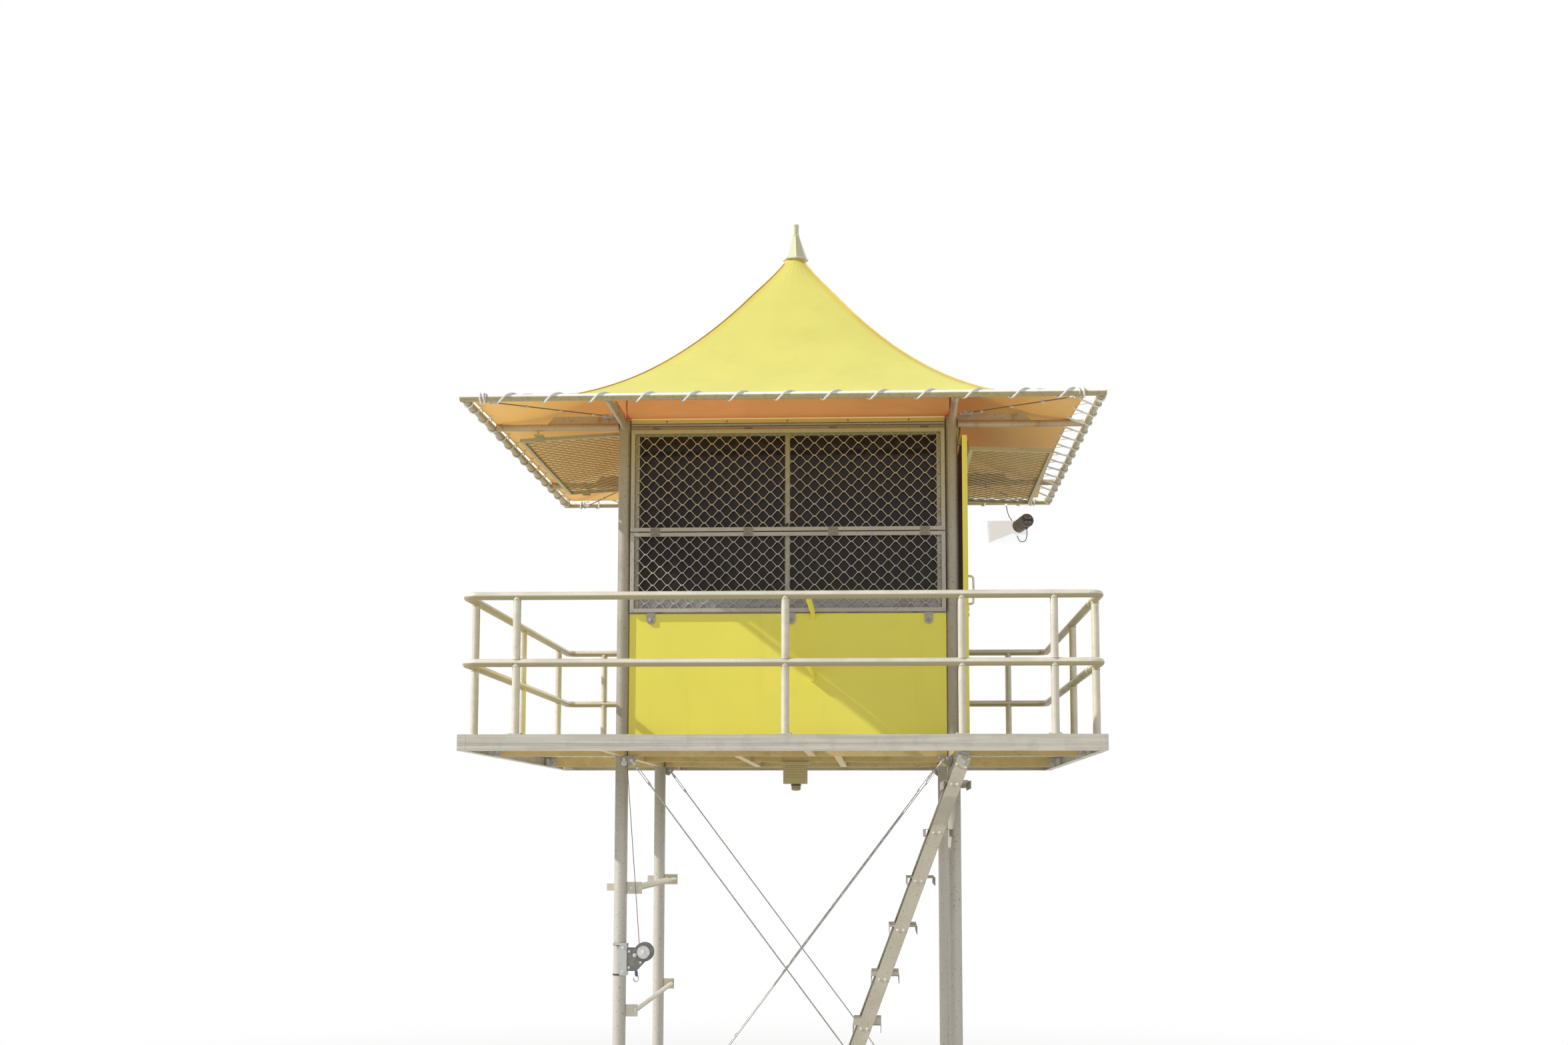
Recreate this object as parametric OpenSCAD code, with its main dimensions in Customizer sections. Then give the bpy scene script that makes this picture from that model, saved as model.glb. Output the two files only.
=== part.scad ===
/* [Deck] */
// Height of the walking surface above the ground
deck_h = 3200; // [2800:50:3800]
// Side of the square deck
deck_w = 4235; // [4100:5:4700]
// Depth of the channel that edges the deck
edge_h = 107; // [95:1:140]
// Width of the edge channel's flanges
edge_flange = 48; // [35:1:60]
// Metal thickness of the edge channel
edge_t = 5; // [3:0.5:8]
// Width of the beams and joists under the deck
beam_w = 50; // [40:1:70]
// Width of one deck slat
slat_w = 88; // [70:1:110]
// Open gap between two deck slats
slat_gap = 40; // [15:1:50]
// Thickness of the deck slats
slat_t = 28; // [20:1:40]

/* [Posts] */
// Distance between the centres of neighbouring posts
post_gap = 2320; // [2200:10:2500]
// Diameter of the posts
post_d = 90; // [76:1:114]
// Side of the square base plates
base_w = 240; // [200:5:320]
// Thickness of the base plates
base_t = 16; // [10:1:25]
// Distance between the bolt holes of a base plate
base_bolt_gap = 180; // [150:5:190]
// Diameter of the bolt holes of a base plate
base_bolt_d = 18; // [14:1:24]

/* [Guard rails] */
// Diameter of the guard rail tubes
rail_d = 54; // [42:1:60]
// Height of the top rail's centre above the deck
rail_top_h = 915; // [880:5:1100]
// Height of the middle rail's centre above the deck
rail_mid_h = 471; // [420:1:520]
// Bend radius at the rail corners
rail_bend_r = 75; // [60:1:150]

/* [Cabin] */
// Height of the top of the yellow lower panels
sill_h = 894; // [800:1:950]
// Thickness of the wall panels
wall_t = 40; // [30:1:50]
// Rise of the head beams' underside above the roof frame's centre
head_rise = 16; // [0:1:60]
// Depth of the head beams
head_depth = 34; // [28:1:60]
// Thickness of the cabin's floor sheet
floor_t = 18; // [12:1:25]
// Width of the window frame members
frame_w = 45; // [35:1:60]
// Width of the window frames' uprights at the posts
stile_w = 60; // [45:1:80]
// Width of the sliding sash members
sash_w = 32; // [25:1:40]
// Thickness of the glass
glass_t = 6; // [4:1:10]
// Clear width of the doorway
doorway_w = 720; // [650:10:780]
// Width of the sliding door
door_w = 860; // [830:10:900]
// Height of the middle of the door's handle plate above the deck
handle_h = 925; // [850:5:1100]
// Thickness of the sliding door
door_t = 35; // [30:1:45]
// Distance from the post's outside to the sliding door
door_stand_off = 28; // [20:1:40]

/* [Mesh screens] */
// Height of the upper screen panel
screen_upper_h = 731; // [650:1:760]
// Height of the screen raised over the sliding door
side_screen_h = 600; // [560:2:700]
// Width of the screen frame members
screen_frame = 27; // [20:1:35]
// Thickness of the screens
screen_t = 25; // [20:1:30]
// Width of one diamond of the grille
diamond_w = 104; // [80:1:140]
// Height of one diamond of the grille
diamond_h = 87.5; // [70:0.5:120]
// Length of the flat joints between two strands
diamond_joint = 14; // [8:1:30]
// Width of the grille's strands
strand_w = 4.5; // [4:0.5:10]
// Thickness of the grille's strands
strand_t = 6; // [4:0.5:8]
// Droop of the raised screens at their outer edge
screen_droop = 3.3; // [2:0.1:8]

/* [Roof] */
// Height of the roof frame's centre above the deck
roof_h = 2243; // [2200:1:2400]
// Side of the square roof frame, between tube centres
roof_w = 4235; // [4100:5:4700]
// Diameter of the roof frame tubes
roof_tube_d = 48; // [42:1:60]
// Rise of the fabric from the roof frame to the finial
peak_rise = 1554; // [1300:1:1700]
// Distance from the roof frame's centre line in to the fabric's corner
hem_inset = 88; // [70:1:120]
// Inward curve of the fabric's edge at the middle of a side
hem_scallop = 42; // [0:1:80]
// Thickness of the roof fabric's solid
fabric_t = 6; // [4:1:10]
// Width across the finial's base
finial_w = 200; // [160:5:260]
// Height of the finial's cone
finial_cone_h = 198; // [150:2:250]
// Height of the finial's spigot
finial_spigot_h = 88; // [60:2:120]

/* [Ladder] */
// Angle of the ladder from the vertical
ladder_tilt = 20.7; // [16:0.1:24]
// Overall width of the ladder
ladder_w = 700; // [600:10:740]
// Width of the ladder's side channels
stringer_w = 88; // [70:1:110]
// Metal thickness of the ladder's side channels
stringer_t = 6; // [4:0.5:10]
// Vertical distance between treads
tread_rise = 315; // [280:1:340]
// Depth of a tread, front to back
tread_depth = 184; // [150:1:200]
// Height of a tread's lips
tread_lip = 52; // [40:1:60]
// Diameter of the ladder's pivot bolts
pivot_d = 16; // [12:1:24]

/* [Bracing] */
// Diameter of the stay rods
stay_d = 10; // [8:1:16]
// Thickness of the bracing plates
plate_t = 8; // [6:1:12]

/* [Gear on the posts] */
// Drop of the winch's middle below the deck
winch_drop = 1510; // [1300:5:1700]
// Height of the upper storage rail above the ground
rack_upper_h = 2179.2; // [1900:0.1:2400]
// Height of the lower storage rail above the ground
rack_lower_h = 1340.8; // [1000:0.1:1600]
// Reach of the upper storage rail from the posts' line
rack_upper_reach = 150; // [130:1:200]
// Reach of the lower storage rail from the posts' line
rack_lower_reach = 128; // [110:1:200]

/* [Hidden] */
$fn = 48;

alloy = "#c8c6ba";
alloy_dark = "#9a988c";
yellow = "#dcc02a";
tint = "#3b4a50";
fabric = "#f0e064";

// Small gap between pieces that seat on each other
seat = 0.3;
// Running gap between a moving piece and its neighbours
run_gap = 6;

post_x = post_gap / 2;
post_r = post_d / 2;
post_inner = post_x - post_r;
post_top = deck_h + roof_h + roof_tube_d / 2 + 8;
half_deck = deck_w / 2;
deck_inner = half_deck - edge_t;
slat_pitch = slat_w + slat_gap;
slat_count = floor((deck_inner - slat_w / 2 - 2) / slat_pitch);
beam_bottom = deck_h - edge_h;
beam_top = deck_h - slat_t;
joist_x = 350;
hatch_left = 200;
hatch_right = post_x - beam_w / 2;
rail_inset = edge_t + rail_d / 2;
rail_line = half_deck - rail_inset;
roof_half = roof_w / 2;
roof_z = deck_h + roof_h;
roof_r = roof_tube_d / 2;
wall_y = post_x;
door_x = post_x + post_r + door_stand_off;
doorway_end = -post_inner + doorway_w;

module tube_x(x1, x2, y, z, d) {
    translate([x1, y, z]) rotate([0, 90, 0]) cylinder(h = x2 - x1, d = d);
}

module tube_y(y1, y2, x, z, d) {
    translate([x, y1, z]) rotate([-90, 0, 0]) cylinder(h = y2 - y1, d = d);
}

module bar(from, to) {
    translate(from) cube([to[0] - from[0], to[1] - from[1], to[2] - from[2]]);
}

// A plate drawn in X and Z, from y1 to y2
module plate_xz(y1, y2) {
    translate([0, y2, 0]) rotate([90, 0, 0]) linear_extrude(y2 - y1) children();
}

// A round rod between two points
module rod(a, b, d) {
    v = b - a;
    len = norm(v);
    translate(a) rotate([0, acos(v[2] / len), atan2(v[1], v[0])]) cylinder(h = len, d = d);
}

module post(sx, sy) {
    color(alloy) translate([sx * post_x, sy * post_x, 0]) {
        difference() {
            translate([-base_w / 2, -base_w / 2, 0]) cube([base_w, base_w, base_t]);
            for (bx = [-1, 1], by = [-1, 1])
                translate([bx * base_bolt_gap / 2, by * base_bolt_gap / 2, -1])
                    cylinder(h = base_t + 2, d = base_bolt_d);
        }
        translate([0, 0, base_t]) cylinder(h = post_top - base_t, d = post_d);
        translate([0, 0, post_top]) cylinder(h = 5, d1 = post_d, d2 = post_d - 14);
    }
}

// Section of the edge channel: u runs in from the outer face, v up from its foot
module edge_section() {
    groove = 1.5;
    ledge = edge_flange - 8;
    polygon([[0, 0], [edge_flange, 0], [edge_flange, edge_t], [edge_t, edge_t],
        [edge_t, edge_h - slat_t - edge_t], [ledge, edge_h - slat_t - edge_t], [ledge, edge_h - slat_t],
        [edge_t, edge_h - slat_t], [edge_t, edge_h], [0, edge_h],
        [0, 48], [groove, 47], [groove, 44], [0, 43], [0, 37], [groove, 36], [groove, 33], [0, 32]]);
}

module end_edge_channels() {
    color(alloy) for (s = [0, 180]) rotate([0, 0, s])
        translate([-half_deck, -half_deck, beam_bottom]) rotate([90, 0, 90])
            linear_extrude(deck_w) edge_section();
}

module side_edge_channels() {
    side_len = deck_w - 2 * edge_flange - 2 * seat;
    color(alloy) for (s = [0, 180]) rotate([0, 0, s])
        translate([-half_deck, side_len / 2, beam_bottom]) rotate([90, 0, 0])
            linear_extrude(side_len) edge_section();
}

module beam_x(x1, x2, y) {
    bar([x1, y - beam_w / 2, beam_bottom], [x2, y + beam_w / 2, beam_top]);
}

module beam_y(y1, y2, x) {
    bar([x - beam_w / 2, y1, beam_bottom], [x + beam_w / 2, y2, beam_top]);
}

module deck_beams() {
    out = post_x + post_r + seat;
    inn = post_inner - seat;
    reach = half_deck - edge_flange - seat;
    face = post_x - beam_w / 2 - seat;
    mid = beam_w / 2 + seat;
    color(alloy_dark) {
        for (s = [-1, 1]) {
            beam_x(-inn, inn, s * post_x);
            beam_y(-inn, inn, s * post_x);
            beam_x(-reach, -out, s * post_x);
            beam_x(out, reach, s * post_x);
            beam_y(-reach, -out, s * post_x);
            beam_y(out, reach, s * post_x);
            beam_y(mid, face, s * joist_x);
            beam_y(-face, -mid, s * joist_x);
        }
        beam_x(-face, face, 0);
        beam_y(-reach, -face - beam_w - 2 * seat, hatch_left - beam_w / 2);
    }
}

module slat(x, y1, y2) {
    bar([x - slat_w / 2, y1, beam_top], [x + slat_w / 2, y2, deck_h]);
}

module deck_slats() {
    end = deck_inner - 2;
    near_post = (slat_w + post_d) / 2 + 3;
    stop = post_x + post_r + 3;
    inner_stop = post_x - post_r - 3;
    color(alloy) for (i = [-slat_count:slat_count]) {
        x = i * slat_pitch;
        in_hatch = x > hatch_left && x < hatch_right;
        at_post = abs(abs(x) - post_x) < near_post;
        if (at_post) {
            slat(x, -end, -stop);
            slat(x, -inner_stop, inner_stop);
            slat(x, stop, end);
        } else if (in_hatch) {
            slat(x, -post_x - beam_w / 2, end);
        } else {
            slat(x, -end, end);
        }
    }
}

module cabin_floor() {
    half = post_x - wall_t / 2 - 2;
    color("#8d8f88") difference() {
        bar([-half, -half, deck_h], [half, half, deck_h + floor_t]);
        for (sx = [-1, 1], sy = [-1, 1])
            translate([sx * post_x, sy * post_x, deck_h - 1]) cylinder(h = floor_t + 2, d = post_d + 6);
    }
}

// One end rail: the straight run and its two bends, at height z
module rail_run(z) {
    straight = rail_line - rail_bend_r;
    tube_x(-straight, straight, -rail_line, z, rail_d);
    for (s = [-1, 1])
        translate([s * straight, -straight, z]) rotate([0, 0, s > 0 ? -90 : 180])
            rotate_extrude(angle = 90) translate([rail_bend_r, 0]) circle(d = rail_d);
}

module baluster(x, y) {
    translate([x, y, deck_h]) cylinder(h = rail_top_h, d = rail_d - 2);
}

module end_guard_rail(xs) {
    color(alloy) {
        rail_run(deck_h + rail_top_h);
        rail_run(deck_h + rail_mid_h);
        for (x = xs) baluster(x, -rail_line);
    }
}

module front_guard_rail() {
    end_guard_rail([for (f = [-0.822, 0.015, 0.559, 0.842]) f * half_deck]);
}

module rear_guard_rail() {
    rotate([0, 0, 180]) end_guard_rail([for (f = [-0.83, -0.279, 0.279, 0.835]) f * half_deck]);
}

module side_guard_rail(side, ys) {
    end = rail_line - rail_bend_r - seat;
    color(alloy) {
        for (h = [rail_top_h, rail_mid_h])
            tube_y(-end, end, side * rail_line, deck_h + h, rail_d);
        for (y = ys) baluster(side * rail_line, y);
    }
}

module left_guard_rail() {
    side_guard_rail(-1, [for (f = [-0.825, -0.013, 0.746]) f * half_deck]);
}

module right_guard_rail() {
    side_guard_rail(1, [for (f = [-0.825, -0.115, 0.614]) f * half_deck]);
}

// Short rails that close the end of the ladder's hatch
module hatch_guard_rail() {
    y1 = -rail_line + rail_d / 2 + seat;
    y2 = -wall_y - wall_t / 2 - screen_t - run_gap;
    x = hatch_left - 20;
    color(yellow) for (z = [deck_h + rail_top_h - 10, deck_h + rail_mid_h]) {
        tube_y(y1, y2, x, z, 40);
        bar([x - 15, y2 - 10, z - 55],
            [x + 15, -wall_y - wall_t / 2 - seat, min(z + 12, deck_h + sill_h - 5)]);
    }
}

// A wall panel along the front, between x1 and x2, up to height h
module panel(x1, x2, h) {
    bar([x1, -wall_y - wall_t / 2, deck_h + floor_t + 2], [x2, -wall_y + wall_t / 2, deck_h + h]);
}

module front_wall() {
    color(yellow) panel(-post_inner + seat, post_inner - seat, sill_h);
}

module left_wall() {
    color(yellow) rotate([0, 0, -90]) panel(-post_inner + seat, post_inner - seat, sill_h);
}

module rear_wall() {
    color(yellow) rotate([0, 0, 180]) panel(-post_inner + seat, post_inner - seat, sill_h);
}

module right_wall() {
    color(yellow) rotate([0, 0, 90]) panel(doorway_end + frame_w + seat, post_inner - seat, sill_h);
}

head_track_h = 45;
head_h = roof_h + head_rise;
frame_top = deck_h + head_h - head_track_h;
track_face = wall_y + 24;
beam_face = wall_y + 30;

// The track over the windows that carries the screens' hinges
module head_track(x1, x2) {
    bar([x1, -track_face, frame_top - 1], [x2, -wall_y + 20, frame_top + 23]);
    bar([x1, -beam_face, frame_top + 22], [x2, -wall_y + 20, deck_h + head_h - seat]);
}

// A window band along the front between x1 and x2, with a mullion at each of xs
module window_frame(x1, x2, xs) {
    z1 = deck_h + sill_h + seat;
    z2 = frame_top;
    y1 = -wall_y - wall_t / 2 + 8;
    y2 = -wall_y + wall_t / 2;
    difference() {
        bar([x1, y1, z1], [x2, y2, z2]);
        bar([x1 + stile_w, y1 - 1, z1 + frame_w], [x2 - stile_w, y2 + 1, z2 - frame_w]);
    }
    for (x = xs)
        bar([x - sash_w / 2, y1, z1 + frame_w - 1], [x + sash_w / 2, y2, z2 - frame_w + 1]);
    head_track(x1, x2);
}

module front_window_frame() {
    e = post_inner - seat;
    color(alloy) window_frame(-e, e, [0]);
}

module left_window_frame() {
    e = post_inner - seat;
    color(alloy) rotate([0, 0, -90]) window_frame(-e, e, [0]);
}

module rear_window_frame() {
    e = post_inner - seat;
    color(alloy) rotate([0, 0, 180]) window_frame(-e, e, [0]);
}

module right_window_frame() {
    e = post_inner - seat;
    color(alloy) rotate([0, 0, 90]) {
        window_frame(doorway_end + seat, e, []);
        head_track(-e, doorway_end + 1);
        bar([doorway_end + seat, -wall_y - wall_t / 2 + 8, deck_h + floor_t + 2],
            [doorway_end + frame_w, -wall_y + wall_t / 2, deck_h + sill_h - 1]);
    }
}

module pane(x1, x2) {
    z1 = deck_h + sill_h + frame_w + 2 * seat;
    z2 = frame_top - frame_w - seat;
    bar([x1, -wall_y - glass_t / 2, z1], [x2, -wall_y + glass_t / 2, z2]);
}

module window_glass() {
    e = post_inner - stile_w - 2 * seat;
    m = sash_w / 2 + seat;
    color(tint) {
        for (a = [0, -90, 180]) rotate([0, 0, a]) {
            pane(-e, -m);
            pane(m, e);
        }
        rotate([0, 0, 90]) pane(doorway_end + stile_w + 2 * seat, e);
    }
}

module head_beams() {
    e = post_inner - seat;
    color(yellow) for (a = [0, 90, 180, 270]) rotate([0, 0, a])
        bar([-e, -beam_face, deck_h + head_h], [e, -wall_y + 20, deck_h + head_h + head_depth]);
}

door_top = deck_h + head_h - 104;
track_x1 = beam_face + seat;
track_x2 = door_x - 3;
track_mid = (track_x1 + track_x2) / 2;
track_z = deck_h + head_h - 58;
track_h = 46;
track_t = 4;
roller_w = 20;
roller_d = 28;

module door() {
    y1 = -post_x - post_r;
    arm_z = door_top - 50;
    color(yellow) {
        bar([door_x, y1, deck_h + 30], [door_x + door_t, y1 + door_w, door_top]);
        for (y = [y1 + 120, y1 + door_w - 120]) {
            bar([track_mid - 3, y - 22, arm_z], [door_x + 1, y + 22, arm_z + 30]);
            bar([track_mid - 3, y - 22, arm_z + 1], [track_mid + 3, y + 22, track_z + track_t + 20]);
            tube_x(track_mid - roller_w / 2, track_mid + roller_w / 2, y,
                track_z + track_t + roller_d / 2 + seat, roller_d);
        }
    }
    color("#8a6a4a") bar([door_x - 4, y1 - 12, deck_h + handle_h - 25],
        [door_x + door_t + 6, y1 - 0.1, deck_h + handle_h + 25]);
}

// The rail that the door hangs from, fixed along the head beam
module door_track() {
    e = post_inner - seat;
    t = track_t;
    color(alloy) difference() {
        bar([track_x1, -e, track_z], [track_x2, e, track_z + track_h]);
        bar([track_x1 + t, -e - 1, track_z + t], [track_x2 - t, e + 1, track_z + track_h - t]);
        bar([track_mid - 8, -e - 1, track_z - 1], [track_mid + 8, e + 1, track_z + t + 1]);
    }
}

// Where the mesh is cut from its sheet, before the first joint
mesh_start = [16, 8.7];

// A sheet of grille, width w and height h, lying in X and Y: slanted strands that meet in short flat joints
module diamond_sheet(w, h) {
    nx = ceil(w / diamond_w);
    ny = ceil(h / diamond_h);
    half_w = diamond_w / 2;
    half_h = diamond_h / 2;
    joint = diamond_joint / 2;
    run = half_w - 2 * joint;
    off = strand_w / 2 * norm([run, half_h]) / half_h;
    rx = half_w - joint - off;
    ry = half_h - 0.62 * strand_w;
    flat = joint + 0.62 * strand_w * run / half_h - off;
    linear_extrude(strand_t) intersection() {
        translate([-w / 2, 0]) square([w, h]);
        difference() {
            translate([-w / 2 - 1, -1]) square([w + 2, h + 2]);
            for (i = [-nx:nx], j = [-1:2 * ny + 2])
                translate([(i + (j % 2 == 0 ? 0.5 : 0)) * diamond_w, j * diamond_h / 2] - mesh_start)
                    polygon([[-rx, 0], [-flat, -ry], [flat, -ry], [rx, 0], [flat, ry], [-flat, ry]]);
        }
    }
}

// A framed screen of width w and height h, standing on X with its back at y = 0
module screen(w, h) {
    f = screen_frame;
    difference() {
        bar([-w / 2, -screen_t, 0], [w / 2, 0, h]);
        bar([-w / 2 + f, -screen_t - 1, f], [w / 2 - f, 1, h - f]);
    }
    translate([0, -screen_t / 2 + strand_t / 2, f - 1]) rotate([90, 0, 0])
        diamond_sheet(w - 2 * f + 2, h - 2 * f + 2);
}

screen_w = 2 * (post_inner - 3);
screen_y = -post_x - wall_t / 2;
screen_upper_z = frame_top - 4 - screen_upper_h;
screen_lower_z = deck_h + sill_h + 10;
screen_lower_h = screen_upper_z - 8 - screen_lower_z;
screen_hinges = [for (f = [-0.84, -0.247, 0.292, 0.872]) f * screen_w / 2];

module front_upper_screen() {
    top = screen_upper_z + screen_upper_h;
    face = screen_y - screen_t;
    color(alloy) {
        translate([0, screen_y, screen_upper_z]) screen(screen_w, screen_upper_h);
        for (x = screen_hinges) {
            bar([x - 38, -track_face - 5, top - 10], [x + 38, -track_face - seat, frame_top + 20]);
            bar([x - 35, face - 4, screen_upper_z - 34], [x + 35, face - seat, screen_upper_z + 24]);
            bar([x - 35, face - 1, screen_upper_z + 2], [x + 35, face + 1, screen_upper_z + 24]);
        }
    }
}

module front_lower_screen() {
    color(alloy) {
        translate([0, screen_y, screen_lower_z]) screen(screen_w, screen_lower_h);
        for (f = [-0.865, 0.025, 0.892]) {
            x = f * screen_w / 2;
            bar([x - 25, screen_y - 6, screen_lower_z - 70], [x + 25, screen_y - seat, screen_lower_z + 1]);
        }
    }
}

// A framed screen swung up flat, its inner edge at y = -hinge and its underside at z there
module raised_sheet(hinge, z, h, droop) {
    translate([0, -hinge, z]) rotate([-90 + droop, 0, 0]) translate([0, 0, -h]) screen(screen_w - 40, h);
}

// A hook that hangs the corner of a raised screen from the outrigger beside it
module screen_hanger(hinge, z, h) {
    out = h * 0.8;
    y = -hinge - out;
    edge = z - out * sin(screen_droop) + screen_t / 2;
    side = screen_w / 2 - 20;
    for (m = [0, 1]) mirror([m, 0, 0]) {
        bar([side - 1, y - 33, edge - 24], [side + 5, y + 33, edge + 22]);
        bar([side + 1, y - 33, edge + 18], [post_x + 8, y + 33, edge + 22]);
        translate([post_x, y, edge + 19]) cylinder(h = roof_z - roof_r - seat - edge - 19, d = 10);
    }
}

// A screen swung up under the eaves of the side that rotation a turns to the front
module raised_screen(a) {
    hinge = post_x + post_r;
    z = frame_top - 19;
    color(alloy) rotate([0, 0, a]) {
        raised_sheet(hinge, z, screen_upper_h, screen_droop);
        for (x = screen_hinges)
            bar([x - 38, -hinge - 16, z + 6], [x + 38, -track_face - seat, z + 36]);
        screen_hanger(hinge, z, screen_upper_h);
    }
}

module left_screen() {
    raised_screen(-90);
}

module rear_screen() {
    raised_screen(180);
}

// The screen over the sliding door, on arms that reach out above the door
module right_screen() {
    hinge = door_x + door_t + 22;
    z = door_top - 85;
    color(alloy) rotate([0, 0, 90]) {
        raised_sheet(hinge, z, side_screen_h, 0.7 * screen_droop);
        for (f = [-0.6, 0.05, 0.8]) {
            x = f * screen_w / 2;
            bar([x - 15, -hinge - 14, z + 10], [x + 15, -hinge - 8, track_z + 20]);
            bar([x - 15, -hinge - 14, track_z + 14], [x + 15, -track_x2 - seat, track_z + 20]);
        }
    }
}

module end_roof_tubes() {
    color("#e4e3dc") for (s = [-1, 1])
        tube_x(-roof_half - roof_r, roof_half + roof_r, s * roof_half, roof_z, roof_tube_d);
}

module side_roof_tubes() {
    e = roof_half - roof_r - seat;
    color("#e4e3dc") for (s = [-1, 1]) tube_y(-e, e, s * roof_half, roof_z, roof_tube_d);
}

// The tubes from each post's head out to the roof frame, with their gusset plates
module outriggers() {
    a = post_x + post_r + seat;
    b = roof_half - roof_r - seat;
    c = a + 0.53 * (b - a);
    h = ridge_z(c) - fabric_t - roof_z - 6;
    color(alloy) for (sx = [0, 1], sy = [0, 1]) mirror([sx, 0, 0]) mirror([0, sy, 0]) {
        tube_x(a, b, post_x, roof_z, roof_tube_d);
        tube_y(a, b, post_x, roof_z, roof_tube_d);
        for (turn = [0, 1]) mirror([turn, -turn, 0]) plate_xz(post_x - 4, post_x + 4)
            difference() {
                polygon([
                    [a, roof_z], [a, roof_z + h], [c, roof_z + h], [c + 50, roof_z + 20], [c + 50, roof_z]]);
                for (f = [0.17, 0.51, 0.85])
                    translate([a + f * (c - a), roof_z + h * 0.62]) circle(d = 12);
            }
    }
}

canopy_top_r = 70;
canopy_hem_r = roof_half - hem_inset;
canopy_hem_z = roof_z + roof_r + fabric_t + seat;
canopy_ref_r = canopy_hem_r + 68;
function canopy_fall(r) = pow(1 - r / canopy_ref_r, 2.042) + 0.012 * pow(1 - r / canopy_ref_r, 14);
function canopy_level(r) = canopy_fall(r) - canopy_fall(canopy_hem_r);
function ridge_z(r) = canopy_hem_z + (peak_rise - roof_r) * canopy_level(r) / canopy_level(canopy_top_r);

// Steepest rise of the struts that keeps them below the fabric's ridges
strut_d = 42;
strut_foot_z = post_top + 5 + seat;
strut_rise = min([for (t = [0.02:0.02:0.5])
    let (r = canopy_top_r + (canopy_hem_r - canopy_top_r) * t)
    if (r < post_x - 100) (ridge_z(r) - fabric_t - 62 - strut_foot_z) / (post_x - r * canopy_corner(t))]);

module peak_frame() {
    hub_z = strut_foot_z + strut_rise * (post_x - 30);
    foot = post_x + 60;
    color(alloy) {
        difference() {
            for (sx = [-1, 1], sy = [-1, 1])
                rod([sx * 30, sy * 30, hub_z],
                    [sx * foot, sy * foot, strut_foot_z - 60 * strut_rise], strut_d);
            bar([-roof_half, -roof_half, deck_h], [roof_half, roof_half, strut_foot_z]);
        }
        translate([0, 0, hub_z - 50]) cylinder(h = 80, r = 60);
        translate([0, 0, hub_z]) cylinder(h = ridge_z(canopy_top_r) - hub_z, d = 50);
    }
}

module finial() {
    z = ridge_z(canopy_top_r) + seat;
    color("#eceadf") translate([0, 0, z]) {
        rotate([0, 0, 8]) cylinder(h = finial_cone_h, d1 = finial_w, d2 = 62, $fn = 8);
        cylinder(h = finial_cone_h + finial_spigot_h, d = 56);
    }
}

canopy_rings = 14;
canopy_side_steps = 12;
function canopy_corner(t) = t < 0.14 ? 1 - 0.22 * pow(1 - t / 0.14, 2) : 1;
function canopy_side(t) = 1 + 0.045 * sin(180 * min(1, t / 0.8));
function canopy_out(t, s, r) = r * (canopy_corner(t) * s * s + canopy_side(t) * (1 - s * s))
    - (t > 0.8 ? hem_scallop * pow((t - 0.8) / 0.2, 2) * (1 - s * s) : 0);
function canopy_point(t, k) =
    let (r = canopy_top_r + (canopy_hem_r - canopy_top_r) * t,
        side = floor(k / canopy_side_steps),
        s = 2 * (k % canopy_side_steps) / canopy_side_steps - 1,
        x = r * canopy_corner(t) * s,
        y = -canopy_out(t, s, r),
        a = side * 90)
    [x * cos(a) - y * sin(a), x * sin(a) + y * cos(a), ridge_z(r)];

module canopy() {
    n = 4 * canopy_side_steps;
    m = canopy_rings;
    top = [for (i = [0:m], k = [0:n - 1]) canopy_point(i / m, k)];
    under = [for (p = top) p - [0, 0, fabric_t]];
    count = len(top);
    outer_faces = [for (i = [0:m - 1], k = [0:n - 1])
        [i * n + k, (i + 1) * n + k, (i + 1) * n + (k + 1) % n, i * n + (k + 1) % n]];
    inner_faces = [for (f = outer_faces) [for (j = [3:-1:0]) f[j] + count]];
    top_rim = [for (k = [0:n - 1]) [k, (k + 1) % n, count + (k + 1) % n, count + k]];
    hem_rim = [for (k = [0:n - 1])
        [m * n + (k + 1) % n, m * n + k, count + m * n + k, count + m * n + (k + 1) % n]];
    function split(f) = [[f[0], f[1], f[2]], [f[0], f[2], f[3]]];
    faces = [for (f = concat(outer_faces, inner_faces, top_rim, hem_rim)) for (s = split(f)) s];
    color(fabric) polyhedron(concat(top, under), [for (f = faces) [f[2], f[1], f[0]]]);
}

// Upright fabric that closes the gap between the head beams and the roof
module eaves_lining() {
    z1 = deck_h + head_h + head_depth + seat;
    z2 = ridge_z(wall_y + 5) - fabric_t - 12;
    e = post_inner - 12;
    color(fabric) for (a = [0, 90, 180, 270]) rotate([0, 0, a])
        bar([-e, -wall_y - 2, z1], [e, -wall_y + 2, z2]);
}

brace_x = post_x - 75;
brace_z = deck_h - 135;
foot_z = 200;
brace_y = post_x + post_r + seat + plate_t / 2;

// A rod stay with an open turnbuckle near its top end
module stay(top, foot) {
    v = (foot - top) / norm(foot - top);
    rod(top, top + v * 60, stay_d);
    rod(top + v * 200, foot, stay_d);
    for (t = [45, 195]) rod(top + v * t, top + v * (t + 20), stay_d * 1.9);
    for (m = [-1, 1])
        rod(top + v * 50 + [m * v[2], 0, -m * v[0]] * 7, top + v * 210 + [m * v[2], 0, -m * v[0]] * 7, 5);
}

module stays(s) {
    off = plate_t / 2 + stay_d / 2 + seat;
    color(alloy_dark) {
        stay([-brace_x, s * (brace_y + off), brace_z], [brace_x, s * (brace_y + off), foot_z]);
        stay([brace_x, s * (brace_y - off), brace_z], [-brace_x, s * (brace_y - off), foot_z]);
    }
}

module front_stays() {
    stays(-1);
}

module rear_stays() {
    stays(1);
}

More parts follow.
